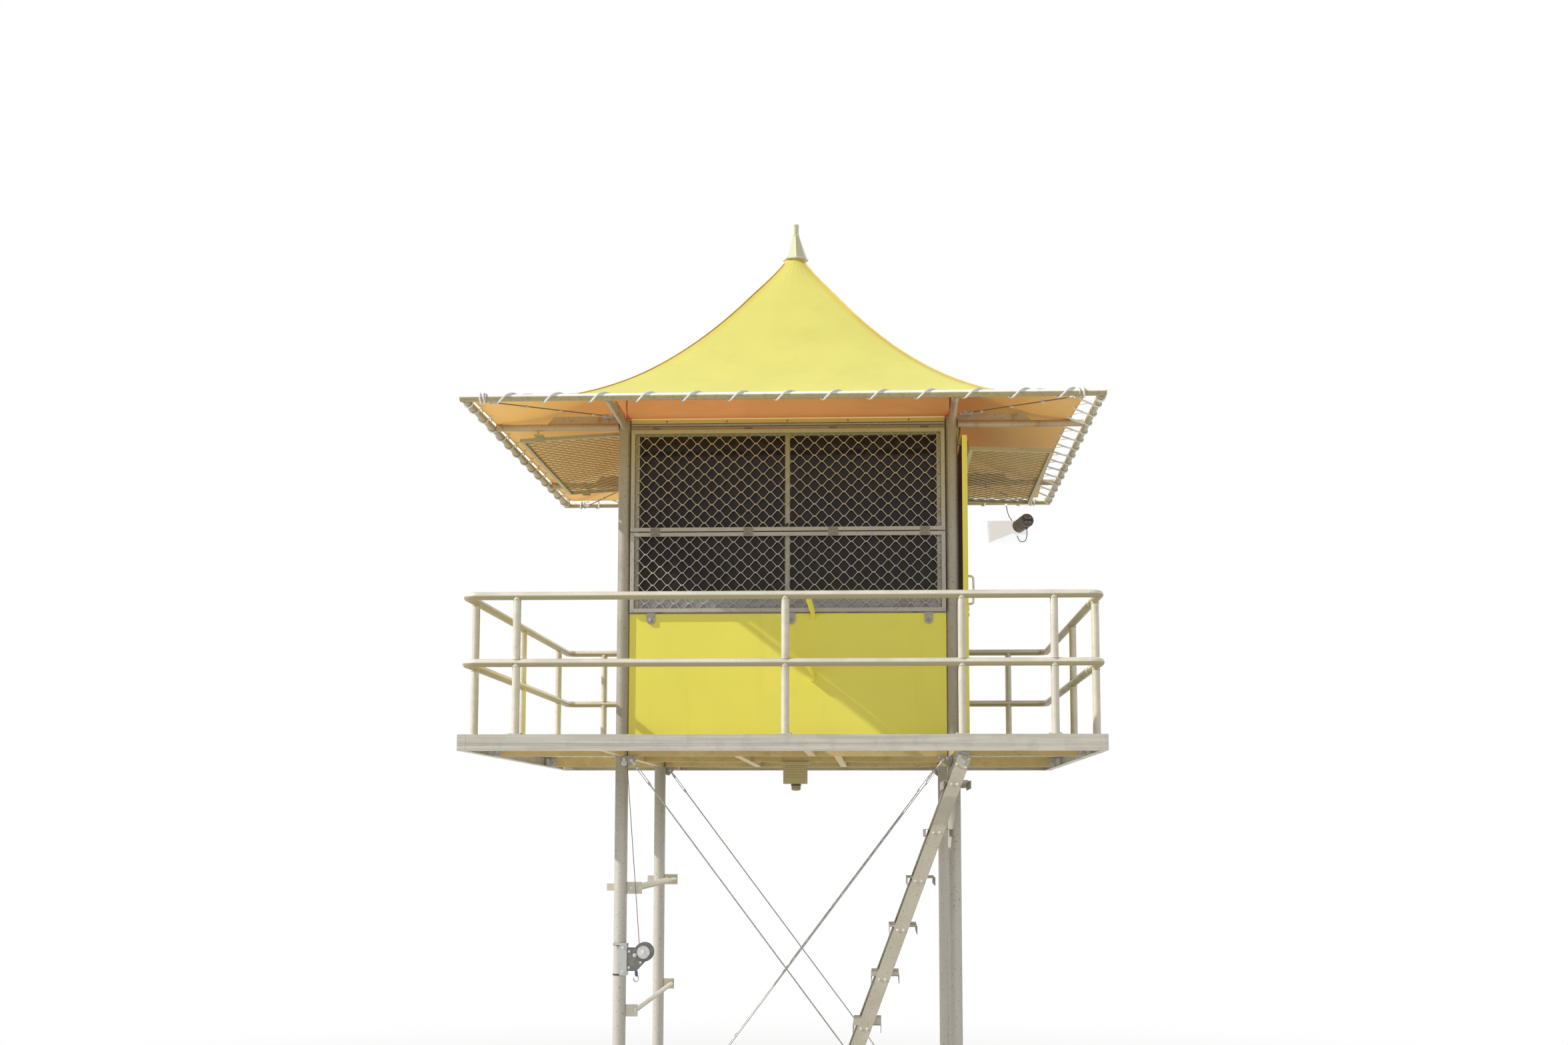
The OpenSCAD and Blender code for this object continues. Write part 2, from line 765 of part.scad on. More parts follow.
// A plate on the outer side of the front or rear posts, drawn in X and Z
module brace_plate(s) {
    plate_xz(min(s * (brace_y - plate_t / 2), s * (brace_y + plate_t / 2)),
        max(s * (brace_y - plate_t / 2), s * (brace_y + plate_t / 2))) children();
}

// A small lug beside the front right post, from x1 to x2 and down from height z
module post_lug(x1, x2, z) {
    bar([x1, -post_x - 4, z - 56], [x2, -post_x + 4, z]);
}

module brace_plates() {
    top = beam_bottom - seat;
    color(alloy) {
        for (s = [-1, 1]) {
            brace_plate(s) difference() {
                polygon([[post_x - 117, top], [post_x - 10, top], [post_x - 14, top - 45],
                    [post_x - 34, top - 82], [post_x - 60, top - 62]]);
                translate([brace_x, brace_z]) circle(d = 14);
            }
            brace_plate(s) intersection() {
                hull() {
                    translate([-post_x + 86, deck_h - 98]) circle(r = 39);
                    polygon([[-post_x + 5, top], [-post_x + 5, top - 43], [-post_x + 65, top - 70]]);
                }
                translate([-post_x, top - 100]) square([150, 100]);
            }
            for (m = [0, 1]) brace_plate(s) mirror([m, 0])
                polygon([[post_x + 10, foot_z - 70], [post_x - 60, foot_z - 40], [post_x - 95, foot_z],
                    [post_x - 60, foot_z + 45], [post_x + 10, foot_z + 70]]);
        }
        post_lug(post_x + post_r + seat, post_x + post_r + 50, deck_h - 273);
        post_lug(post_x - post_r - 62, post_x - post_r - seat, deck_h - 604);
    }
}

pivot_x = post_x + 30;
pivot_z = deck_h - 172;
ladder_back = -post_x - post_r - 35;
ladder_front = ladder_back - ladder_w;
ladder_len = pivot_z / cos(ladder_tilt) + stringer_w / 2;

module ladder_place() {
    translate([pivot_x, 0, pivot_z]) rotate([0, ladder_tilt, 0]) children();
}

module stringer(face, s) {
    h = stringer_w / 2;
    flange = 26;
    t = stringer_t;
    difference() {
        union() {
            bar([-h, min(face, face + s * t), -ladder_len], [h, max(face, face + s * t), 34]);
            for (x = [-h, h - t])
                bar([x, min(face, face + s * flange), -ladder_len],
                    [x + t, max(face, face + s * flange), -78]);
        }
        translate([0, face - s, 0]) rotate([s > 0 ? -90 : 90, 0, 0]) cylinder(h = t + 2, d = pivot_d + 1);
    }
}

module ladder_stringers() {
    color(alloy) difference() {
        ladder_place() {
            stringer(ladder_front, 1);
            stringer(ladder_back, -1);
            difference() {
                bar([-40, ladder_front - 6, -40], [40, ladder_front + 1, 40]);
                tube_y(ladder_front - 7, ladder_front + 2, 0, 0, pivot_d + 1);
            }
        }
        bar([-half_deck, -half_deck, -200], [half_deck, 0, 0]);
    }
}

tread_first = 124;
tread_count = floor((pivot_z - tread_first - 160) / tread_rise);

module tread(z) {
    x = pivot_x - (pivot_z - z) * tan(ladder_tilt) + 8;
    y1 = ladder_front + 26 + seat;
    y2 = ladder_back - 26 - seat;
    d = tread_depth / 2;
    t = 4;
    translate([x, y2, z]) rotate([90, 0, 0]) linear_extrude(y2 - y1)
        polygon([[-d, 0], [d, 0], [d, -tread_lip], [d - t, -tread_lip], [d - t, -t], [-d + t, -t],
            [-d + t, -tread_lip], [-d, -tread_lip]]);
    for (y = [ladder_front + stringer_t + seat, ladder_back - stringer_t - seat - 22])
        translate([0, y + 22, 0]) rotate([90, 0, 0]) linear_extrude(22)
            polygon([for (q = [[-1, -3], [1, -3], [1, -44], [-1, -44]])
                [pivot_x - (pivot_z - z - q[1]) * tan(ladder_tilt)
                    + q[0] * 34 / cos(ladder_tilt), z + q[1]]]);
}

module ladder_treads() {
    color(alloy) for (k = [0:tread_count]) tread(pivot_z - tread_first - k * tread_rise);
}

// The lugs under the deck and the bolts that the ladder turns on
module ladder_hinge() {
    r = 28;
    color(alloy_dark) for (side = [0, 1]) {
        face = side == 0 ? ladder_front : ladder_back;
        s = side == 0 ? 1 : -1;
        lug = face + s * (stringer_t + run_gap);
        plate_xz(min(lug, lug + s * plate_t), max(lug, lug + s * plate_t)) hull() {
            translate([pivot_x, pivot_z]) circle(r = r);
            polygon([[pivot_x - 40, beam_bottom - seat], [pivot_x + 44, beam_bottom - seat],
                [pivot_x + 44, beam_bottom - 8], [pivot_x - 40, beam_bottom - 8]]);
        }
        head = side == 0 ? 12 : 4;
        tube_y(min(lug, face - s * head), max(lug, face - s * head), pivot_x, pivot_z, pivot_d);
        tube_y(min(face - s * head, face - s * (head + 9)), max(face - s * head, face - s * (head + 9)),
            pivot_x, pivot_z, pivot_d + 14);
    }
}

module winch() {
    x = -post_x;
    z = deck_h - winch_drop;
    y = -post_x - post_r - seat;
    reel = [x + 171, z + 51];
    color(alloy) {
        bar([x + 4, y - 5, z - 108], [x + 54, y, z + 108]);
        bar([x + 49, y - 5, z - 108], [x + 54, -post_x + 45, z + 108]);
        bar([x - 43, y - 9, z + 98], [x + 66, y - 4, z + 112]);
    }
    color(alloy_dark) {
        for (dy = [-46, 30])
            plate_xz(-post_x + dy, -post_x + dy + 6)
                polygon([[x + 53, z - 78], [x + 118, z - 78], [x + 172, z - 20], [x + 186, z + 30],
                    [x + 180, z + 70], [x + 150, z + 78], [x + 53, z + 78]]);
        for (dy = [-36, 18])
            tube_y(-post_x + dy, -post_x + dy + 5, reel[0], reel[1], 132);
        tube_y(-post_x - 34, -post_x + 20, reel[0], reel[1], 58);
        tube_y(-post_x - 62, -post_x + 44, reel[0], reel[1], 20);
        tube_y(-post_x - 54, -post_x - 47, reel[0], reel[1], 52);
        tube_y(-post_x - 54, -post_x + 40, x + 112, z + 30, 26);
        bar([x + 92, -post_x - 41, z - 70], [x + 112, -post_x + 31, z - 50]);
    }
}

module hoist_pulley() {
    x = -post_x + 23;
    z = deck_h - 157;
    y = -brace_y - plate_t / 2 - seat;
    color(alloy_dark) {
        tube_y(y - 10, y, x, z, 40);
        tube_y(y - 16, y - 9, x, z, 14);
        bar([x - 9, y - 14, z - 8], [x + 9, y - 10 + 0.5, z + 34]);
        bar([x - 9, y - 14, z + 24], [x + 9, y, z + 34]);
    }
}

rack_z = [rack_upper_h, rack_lower_h];

// Rails and end plates between the two left posts, for poles and boards
module storage_rack() {
    x = -post_x;
    out = [rack_upper_reach, rack_lower_reach];
    color(alloy) for (k = [0, 1]) {
        for (s = [-1, 1])
            bar([x + post_r + seat, s * post_x - 3, rack_z[k] - 41],
                [x + out[k], s * post_x + 3, rack_z[k] + 41]);
        tube_y(-post_x, post_x, x + out[k] - 20, rack_z[k], 34);
        if (k == 0) {
            tube_y(-post_x, post_x, x + out[k] - 80, rack_z[k], 34);
            for (s = [-1, 1])
                bar([x - post_r - 50, s * post_x - 3, rack_z[k] - 20],
                    [x - post_r - seat, s * post_x + 3, rack_z[k] + 30]);
        }
    }
}

module junction_box() {
    x = 5;
    z = beam_bottom - seat;
    color("#c9b46a") {
        bar([x - 103, -50, z - 6], [x + 103, 50, z]);
        bar([x - 90, -50, z - 165], [x + 90, 50, z - 5]);
    }
    color("#4a4438") translate([x + 5, 0, z - 210]) cylinder(h = 46, d = 70);
}

// A flat rounded slab of the horn, w by h, at distance d behind its mouth
module horn_ring(w, h, d) {
    translate([-w / 2, -d - 4, -h / 2]) cube([w, 4, h]);
}

module loudspeaker() {
    mouth = [1790, roof_half - 30, roof_z - 284];
    straps = [1757, 1934];
    color("#efefec") {
        translate(mouth) rotate([-8, 0, 20]) {
            difference() {
                hull() {
                    horn_ring(420, 200, 0);
                    horn_ring(420, 200, 14);
                    horn_ring(400, 186, 40);
                    horn_ring(150, 120, 180);
                }
                hull() {
                    horn_ring(408, 188, -1);
                    horn_ring(392, 176, 34);
                    horn_ring(130, 100, 172);
                }
            }
        }
        for (x = straps) {
            bar([x - 14, roof_half - 10, mouth[2] + 40], [x + 14, roof_half - 4, roof_z - roof_r - seat]);
            bar([x - 14, roof_half - 120, mouth[2] + 40], [x + 14, roof_half - 4, mouth[2] + 46]);
        }
    }
    color("#6a6458") translate(mouth) rotate([-8, 0, 20]) {
        tube_y(-300, -182, 0, 12, 106);
        tube_y(-372, -298, 0, 12, 112);
        tube_y(-378, -370, 0, 12, 92);
    }
}

post(-1, -1);  // front_left_post
post(1, -1);  // front_right_post
post(-1, 1);  // rear_left_post
post(1, 1);  // rear_right_post
end_edge_channels();
side_edge_channels();
deck_beams();
deck_slats();
cabin_floor();
front_guard_rail();
rear_guard_rail();
left_guard_rail();
right_guard_rail();
hatch_guard_rail();
front_wall();
left_wall();
rear_wall();
right_wall();
door();
door_track();
head_beams();
front_window_frame();
left_window_frame();
rear_window_frame();
right_window_frame();
window_glass();
front_upper_screen();
front_lower_screen();
left_screen();
right_screen();
rear_screen();
end_roof_tubes();
side_roof_tubes();
outriggers();
peak_frame();
finial();
canopy();
eaves_lining();
front_stays();
rear_stays();
brace_plates();
ladder_stringers();
ladder_treads();
ladder_hinge();
winch();
hoist_pulley();
storage_rack();
junction_box();
loudspeaker();
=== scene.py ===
"""Looks of a square beach lookout tower: surfaces, fabric roof, fittings and a plain studio stage."""

import math

import bmesh
import bpy
from bpy.props import FloatProperty, FloatVectorProperty, PointerProperty
from mathutils import Matrix, Vector


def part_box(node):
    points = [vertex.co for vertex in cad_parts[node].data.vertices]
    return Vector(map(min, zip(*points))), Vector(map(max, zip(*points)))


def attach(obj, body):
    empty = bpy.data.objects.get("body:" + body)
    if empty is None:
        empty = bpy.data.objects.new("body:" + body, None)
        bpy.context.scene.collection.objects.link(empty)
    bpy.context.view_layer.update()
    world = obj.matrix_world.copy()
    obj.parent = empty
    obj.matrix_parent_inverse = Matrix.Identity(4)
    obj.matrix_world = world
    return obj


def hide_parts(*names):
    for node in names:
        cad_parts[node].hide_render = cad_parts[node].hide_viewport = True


bl_info = {
    "name": "Lookout Tower Dressing",
    "version": (1, 0, 0),
    "blender": (4, 5, 0),
    "location": "3D View > Sidebar > Tower",
    "description": "Surfaces, fabric roof, fittings and stage of a beach lookout tower",
    "category": "Object",
}

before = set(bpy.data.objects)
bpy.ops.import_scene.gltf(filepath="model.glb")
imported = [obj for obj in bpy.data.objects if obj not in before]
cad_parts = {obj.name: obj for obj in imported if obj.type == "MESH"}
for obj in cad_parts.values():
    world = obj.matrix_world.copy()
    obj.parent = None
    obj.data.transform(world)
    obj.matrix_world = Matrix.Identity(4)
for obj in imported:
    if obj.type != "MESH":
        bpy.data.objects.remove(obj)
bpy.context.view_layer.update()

# Places read from the solid model, in metres
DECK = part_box("deck_slats")[1].z
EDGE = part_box("end_edge_channels")[1].x
EDGE_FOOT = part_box("end_edge_channels")[0].z
POST = sum(corner.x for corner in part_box("front_right_post")) / 2
ROOF = sum(corner.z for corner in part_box("end_roof_tubes")) / 2
ROOF_R = (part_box("end_roof_tubes")[1].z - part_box("end_roof_tubes")[0].z) / 2
ROOF_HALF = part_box("end_roof_tubes")[1].y - ROOF_R
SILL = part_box("front_wall")[1].z
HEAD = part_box("head_beams")[0].z
FINIAL_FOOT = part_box("finial")[0].z

# Sizes that the solids are drawn to, in metres
POST_R = 0.045
POST_IN = POST - POST_R
BASE_BOLT = 0.09
RAIL_R = 0.027
RAIL_TOP = DECK + 0.915
RAIL_MID = DECK + 0.471
RAIL_LINE = EDGE - 0.032
SLAT_PITCH = 0.128
WALL_HALF = 0.020
SCREEN_T = 0.025
SCREEN_F = 0.027
SCREEN_W = 2 * (POST_IN - 0.003)
DIAMOND = (0.104, 0.0875)
MESH_START = (0.016, 0.0087)
FRAME_TOP = HEAD - 0.045
UPPER_H = 0.731
UPPER_Z = FRAME_TOP - 0.004 - UPPER_H
LOWER_Z = SILL + 0.010
LOWER_H = UPPER_Z - 0.008 - LOWER_Z
RIGHT_H = 0.600
DROOP = math.radians(3.3)
DOOR_X = POST + POST_R + 0.028
DOOR_T = 0.035
DOOR_TOP = HEAD - 0.104
HEM_R = ROOF_HALF - 0.088
TOP_R = 0.070
FALL_R = HEM_R + 0.068
HEM_Z = ROOF + ROOF_R + 0.0063
PEAK_Z = FINIAL_FOOT - 0.0003
PIVOT_X = POST + 0.030
PIVOT_Z = DECK - 0.172
TILT = math.radians(20.7)
LADDER_BACK = -POST - POST_R - 0.035
LADDER_FRONT = LADDER_BACK - 0.700
TREAD_RISE = 0.315
DOORWAY_W = 0.720
DOOR_W = 0.860
WINCH_PLATE_X = -POST + 0.0544
CORNERS = [(-1, -1), (1, -1), (1, 1), (-1, 1)]
UP = (0, 0, 1)
DOWN = (0, 0, -1)
FRONT = (0, -1, 0)
REAR = (0, 1, 0)
RIGHT = (1, 0, 0)

# Measures of the finishes
# Painted warm light, as if bounced off the roof's underside: from this height up to the head beams the
# colour takes on the golden tint below
BOUNCE_FROM = DECK + 1.3
BOUNCE_TINT = (1.06, 0.96, 0.42)
RUST_TINT = (0.50, 0.40, 0.24)
# Painted sunlight: how much paler and cooler the posts are made below the deck
SUNLIT_TINT = (1.50, 1.55, 1.75)
ONE_WAVE = 6.2832
RIB_PITCH = 0.0098
GRIP_BAR_PITCH = 0.024

# The part of an outrigger's length that its gusset runs along
GUSSET_SHARE = 0.53


class TOWER_PG_colours(bpy.types.PropertyGroup):
    """Colours that a user would change"""

    fabric: FloatVectorProperty(
        name="Roof fabric", description="Upper side of the roof", default=(0.75, 0.70, 0.155),
        size=3, min=0, max=1, subtype="COLOR")
    fabric_under: FloatVectorProperty(
        name="Roof lining", description="Underside of the roof", default=(0.84, 0.40, 0.10),
        size=3, min=0, max=1, subtype="COLOR")
    panel: FloatVectorProperty(
        name="Wall paint", description="Paint of the lower wall panels", default=(0.95, 0.87, 0.12),
        size=3, min=0, max=1, subtype="COLOR")
    alloy: FloatVectorProperty(
        name="Frame alloy", description="Weathered tubes and posts", default=(0.38, 0.35, 0.27),
        size=3, min=0, max=1, subtype="COLOR")
    rail: FloatVectorProperty(
        name="Rail alloy", description="Guard rails and deck edging", default=(0.74, 0.70, 0.59),
        size=3, min=0, max=1, subtype="COLOR")
    grille: FloatVectorProperty(
        name="Grille", description="Strands of the mesh screens", default=(0.46, 0.43, 0.36),
        size=3, min=0, max=1, subtype="COLOR")
    white: FloatVectorProperty(
        name="White coat", description="Roof tubes, finial and horn", default=(0.80, 0.79, 0.73),
        size=3, min=0, max=1, subtype="COLOR")
    glass: FloatVectorProperty(
        name="Glass tint", description="Window glass", default=(0.026, 0.019, 0.015),
        size=3, min=0, max=1, subtype="COLOR")


class TOWER_PG_sizes(bpy.types.PropertyGroup):
    """Sizes of the fittings that a user would change"""

    lacing: FloatProperty(
        name="Lacing", description="Thickness of the cord round the roof tubes", default=0.013,
        min=0.004, max=0.016, unit="LENGTH")
    lacing_pitch: FloatProperty(
        name="Lacing pitch", description="Distance between two eyelets of the hem", default=0.310,
        min=0.15, max=0.5, unit="LENGTH")
    cable: FloatProperty(
        name="Corner cable", description="Thickness of the cables at the roof's corners",
        default=0.008, min=0.004, max=0.012, unit="LENGTH")
    screw: FloatProperty(
        name="Screw head", description="Width of the screw heads of the deck", default=0.011,
        min=0.006, max=0.016, unit="LENGTH")
    wrinkle: FloatProperty(
        name="Wrinkle", description="Height of the fabric's tension wrinkles", default=0.0024,
        min=0.0, max=0.006, unit="LENGTH")


class TOWER_PG_stage(bpy.types.PropertyGroup):
    """Camera and lights"""

    lens: FloatProperty(
        name="Lens", description="Focal length on a 36 mm wide sensor", default=43.742,
        min=20, max=120, unit="CAMERA")
    rise: FloatProperty(
        name="Rise", description="Upward shift of the lens", default=0.0573, min=-0.2, max=0.2)
    eye: FloatVectorProperty(
        name="Eye", description="Place of the camera", default=(0.660, -14.4762, 2.5858),
        size=3, subtype="XYZ", unit="LENGTH")
    pitch: FloatProperty(
        name="Pitch", description="Upward tilt", default=math.radians(6.4981),
        subtype="ANGLE", unit="ROTATION")
    yaw: FloatProperty(
        name="Yaw", description="Turn to the left", default=math.radians(2.9404),
        subtype="ANGLE", unit="ROTATION")
    roll: FloatProperty(
        name="Roll", description="Turn about the line of sight", default=math.radians(0.0865),
        subtype="ANGLE", unit="ROTATION")
    ambient: FloatProperty(
        name="Ambient", description="Strength of the soft light all round", default=0.30, min=0, max=2)
    key: FloatProperty(
        name="Key", description="Strength of the key light", default=3.6, min=0, max=5)


# Materials


class Value:
    """A socket of a material, on which Python arithmetic adds Math nodes."""

    def __init__(self, finish, socket):
        self.finish = finish
        self.socket = socket

    def _math(self, operation, first, second=None):
        values = {0: first} if second is None else {0: first, 1: second}
        return self.finish.value("ShaderNodeMath", {"operation": operation}, values)

    def __add__(self, other):
        return self._math("ADD", self, other)

    def __radd__(self, other):
        return self._math("ADD", other, self)

    def __sub__(self, other):
        return self._math("SUBTRACT", self, other)

    def __rsub__(self, other):
        return self._math("SUBTRACT", other, self)

    def __mul__(self, other):
        return self._math("MULTIPLY", self, other)

    def __rmul__(self, other):
        return self._math("MULTIPLY", other, self)

    def __pow__(self, other):
        return self._math("POWER", self, other)

    def __abs__(self):
        return self._math("ABSOLUTE", self)

    def sine(self):
        return self._math("SINE", self)

    def most(self, other):
        return self._math("MAXIMUM", self, other)

    def ramp(self, low, high):
        """0 below low, 1 above high and smooth between them."""
        return self.finish.value(
            "ShaderNodeMapRange", {"interpolation_type": "SMOOTHSTEP"},
            {"Value": self, "From Min": low, "From Max": high})


class Finish:
    """One material: the place it is read at, its masks and the shader that they feed."""

    def __init__(self, name):
        self.material = bpy.data.materials.new(name)
        self.material.use_nodes = True
        self.tree = self.material.node_tree
        self.tree.nodes.clear()
        self.coordinates = self.node("ShaderNodeTexCoord")
        self.place = Value(self, self.coordinates.outputs["Object"])
        split = self.node("ShaderNodeSeparateXYZ", None, {0: self.place})
        self.x, self.y, self.z = (Value(self, split.outputs[i]) for i in range(3))

    def node(self, kind, settings=None, values=None):
        """Adds a node: its type, its settings, then the values or links of its sockets."""
        made = self.tree.nodes.new(kind)
        for name, setting in (settings or {}).items():
            setattr(made, name, setting)
        for key, given in (values or {}).items():
            if isinstance(given, Value):
                self.tree.links.new(given.socket, made.inputs[key])
            else:
                made.inputs[key].default_value = given
        return made

    def value(self, kind, settings=None, values=None, out=0):
        return Value(self, self.node(kind, settings, values).outputs[out])

    def stretched(self, stretch):
        return self.value("ShaderNodeVectorMath", {"operation": "MULTIPLY"}, {0: self.place, 1: stretch})

    def noise(self, scale, detail=3.0, stretch=None):
        at = self.place if stretch is None else self.stretched(stretch)
        return self.value(
            "ShaderNodeTexNoise", None,
            {"Vector": at, "Scale": scale, "Detail": detail, "Roughness": 0.55})

    def cells(self, scale):
        """One random value for each cell of a pattern of cells."""
        made = self.node("ShaderNodeTexVoronoi", None, {"Vector": self.place, "Scale": scale})
        return self.value("ShaderNodeSeparateXYZ", None, {0: Value(self, made.outputs["Color"])})

    def facing(self):
        """The surface's own direction as three values."""
        split = self.node(
            "ShaderNodeSeparateXYZ", None, {0: Value(self, self.coordinates.outputs["Normal"])})
        return [Value(self, split.outputs[i]) for i in range(3)]

    def mix(self, factor, first, second):
        """Colour first where factor is 0, second where it is 1."""
        colours = [c if isinstance(c, Value) else (*c[:3], 1.0) for c in (first, second)]
        return self.value(
            "ShaderNodeMix", {"data_type": "RGBA"}, {0: factor, 6: colours[0], 7: colours[1]}, 2)

    def bump(self, height, distance, strength=1.0):
        return self.value(
            "ShaderNodeBump", None, {"Height": height, "Distance": distance, "Strength": strength})

    def surface(self, colour, roughness, bump=None, **fixed):
        """The shader. Values that vary come by link, and constants are set on its sockets."""
        values = {
            "Base Color": colour if isinstance(colour, Value) else (*colour[:3], 1.0),
            "Roughness": roughness,
        }
        if bump is not None:
            values["Normal"] = bump
        for name, given in fixed.items():
            values[name.replace("_", " ").title().replace("Ior", "IOR")] = given
        shader = self.node("ShaderNodeBsdfPrincipled", None, values)
        self.node(
            "ShaderNodeOutputMaterial", None, {"Surface": Value(self, shader.outputs[0])})
        return self.material


def shade(colour, factor):
    """A lighter or darker colour."""
    return tuple(min(1.0, c * factor) for c in colour[:3])


def tinted(colour, tint):
    """A colour under a film or stain."""
    return tuple(c * k for c, k in zip(colour, tint))


def weathered_alloy(name, colour, metallic=0.35, streak=None, stain=0.10, painted_bounce=0.0, under=None,
                    pits=0.55, painted_sun=0.0):
    """Dull aluminium tube: faint oxide clouds, small dark pits, scratches along it and brown stains."""
    f = Finish(name)
    cloud = f.noise(4.0, 5.0).ramp(0.36, 0.64)
    speck = f.noise(70.0, 3.0).ramp(0.60, 0.70)
    stains = f.noise(11.0, 5.0).ramp(0.55, 0.72)
    fine = f.noise(240.0, 1.0, streak)
    tone = f.mix(cloud, shade(colour, 0.93), shade(colour, 1.06))
    tone = f.mix(stains * stain, tone, tinted(colour, RUST_TINT))
    # Painted shade: faces that turn downwards take the darker colour given
    if under:
        lower = 1.0 - (f.facing()[2] + f.noise(20.0, 3.0) * 0.08).ramp(-0.10, 0.10)
        tone = f.mix(lower, tone, under)
    # Painted warm bounce light: the colour turns golden towards the head beams
    if painted_bounce:
        tone = f.mix(f.z.ramp(BOUNCE_FROM, HEAD) * painted_bounce, tone, tinted(colour, BOUNCE_TINT))
    # Painted sunlight: the post turns paler and cooler below the deck, as if the sun lit it there
    if painted_sun:
        low = 1.0 - f.z.ramp(DECK - 1.0, DECK - 0.15)
        tone = f.mix(low * painted_sun, tone, tinted(colour, SUNLIT_TINT))
    tone = f.mix(speck * pits, tone, shade(colour, 0.42))
    rough = 0.42 + cloud * 0.08 + speck * 0.14
    return f.surface(tone, rough, f.bump(fine - speck * 0.8, 0.0006, 0.5), metallic=metallic)


def brushed_alloy(name, colour, streak, painted_bounce=0.0):
    """Extruded aluminium, with drawing lines along it and pale water marks."""
    f = Finish(name)
    lines = f.noise(30.0, 3.0, streak)
    mark = f.noise(7.0, 4.0).ramp(0.50, 0.62)
    tone = f.mix(lines.ramp(0.3, 0.7), shade(colour, 0.86), shade(colour, 1.10))
    tone = f.mix(mark * 0.25, tone, shade(colour, 0.72))
    # Painted warm bounce light: the colour turns golden towards the head beams
    if painted_bounce:
        tone = f.mix(f.z.ramp(BOUNCE_FROM, HEAD) * painted_bounce, tone, tinted(colour, BOUNCE_TINT))
    return f.surface(tone, 0.34 + mark * 0.16 + lines * 0.08, f.bump(lines, 0.0004, 0.5), metallic=0.35)


def galvanised(name, colour):
    """Zinc-coated steel with its crystal spangle and white bloom."""
    f = Finish(name)
    grain = f.cells(70.0)
    bloom = f.noise(16.0, 4.0).ramp(0.52, 0.70)
    tone = f.mix(grain, shade(colour, 0.78), shade(colour, 1.10))
    tone = f.mix(bloom * 0.5, tone, shade(colour, 1.25))
    return f.surface(tone, 0.36 + grain * 0.14 + bloom * 0.2, f.bump(grain, 0.0003, 0.4), metallic=0.55)


def panel_paint(name, colour):
    """Gloss paint on sheet: a slight roll in the sheet, faint run-off streaks and sun fading."""
    f = Finish(name)
    fade = f.noise(1.6, 2.0).ramp(0.3, 0.7)
    streaks = f.noise(9.0, 4.0, (1.0, 1.0, 0.10)).ramp(0.54, 0.74)
    orange_peel = f.noise(130.0, 1.0)
    foot = 1.0 - f.z.ramp(DECK + 0.02, DECK + 0.16)
    tone = f.mix(fade, shade(colour, 0.96), colour)
    tone = f.mix(streaks * 0.10 + foot * 0.10, tone, shade(colour, 0.62))
    roll = f.noise(2.2, 1.0) * 3.0 + orange_peel * 0.02
    return f.surface(tone, 0.36 + streaks * 0.10, f.bump(roll, 0.002, 0.5), coat_weight=0.12)


def door_paint(name, colour, lining):
    """The door's paint outside and on its edges, and inside a dark brown that is partly its bare lining and
    partly painted shade.
    """
    f = Finish(name)
    # The inner face, seen in the narrow gap beside the post, is dark brown: bare lining with painted shade
    inner = (f.facing()[0] * -1.0).ramp(0.5, 0.8)
    streaks = f.noise(9.0, 4.0, (1.0, 1.0, 0.10)).ramp(0.54, 0.74)
    tone = f.mix(streaks * 0.14, colour, shade(colour, 0.62))
    tone = f.mix(inner, tone, lining)
    return f.surface(tone, 0.38 + inner * 0.2, f.bump(f.noise(110.0, 1.0), 0.0003, 0.4), coat_weight=0.10)


def white_coat(name, colour, age=0.12, under=None, painted_glow=0.0):
    """White coated metal with thin dirt in patches; where an underside colour is given, painted shade with
    lichen in it on the faces that do not turn up, and a painted glow where its strength is given.
    """
    f = Finish(name)
    dirt = f.noise(11.0, 5.0).ramp(0.50, 0.74)
    tone = f.mix(dirt * age * 2.0, colour, (0.42, 0.38, 0.27))
    # Painted shade on the faces that do not turn up, with lichen in it
    if under:
        lichen = f.noise(38.0, 4.0).ramp(0.48, 0.66)
        lower = 1.0 - (f.facing()[2] + f.noise(24.0, 3.0) * 0.12).ramp(0.14, 0.34)
        tone = f.mix(lower, tone, f.mix(lichen * 0.45, under, shade(under, 0.62)))
    # The emission is a painted glow that lifts the coat, though it is no lamp
    return f.surface(tone, 0.42 + dirt * 0.15, f.bump(f.noise(150.0, 2.0), 0.0003, 0.4), coat_weight=0.08,
                     emission_color=(0.86, 0.93, 1.0, 1.0), emission_strength=painted_glow)


def finial_coat(name, colour, older):
    """White coat on the facets of one side, and an older yellow one that flakes on the rest."""
    f = Finish(name)
    flake = f.noise(22.0, 5.0).ramp(0.46, 0.56)
    turned = f.facing()[0].ramp(-0.35, -0.25)
    tone = f.mix(turned, colour, f.mix(flake * 0.75, older, shade(colour, 0.95)))
    return f.surface(tone, 0.45 + flake * 0.1, f.bump(f.noise(150.0, 2.0) + flake, 0.0003, 0.4),
                     coat_weight=0.08)


def winch_steel(name, colour, plate):
    """Dull grey steel cheeks and reel, rubbed bright in places, on a pale plate beside the post."""
    f = Finish(name)
    grain = f.cells(60.0)
    worn = f.noise(18.0, 4.0).ramp(0.54, 0.72)
    tone = f.mix(grain, shade(colour, 0.88), shade(colour, 1.10))
    tone = f.mix(worn * 0.35, tone, shade(colour, 1.5))
    tone = f.mix(1.0 - f.x.ramp(WINCH_PLATE_X, WINCH_PLATE_X + 0.0006), tone, plate)
    return f.surface(tone, 0.42 + worn * 0.15, f.bump(grain, 0.0003, 0.4), metallic=0.4)


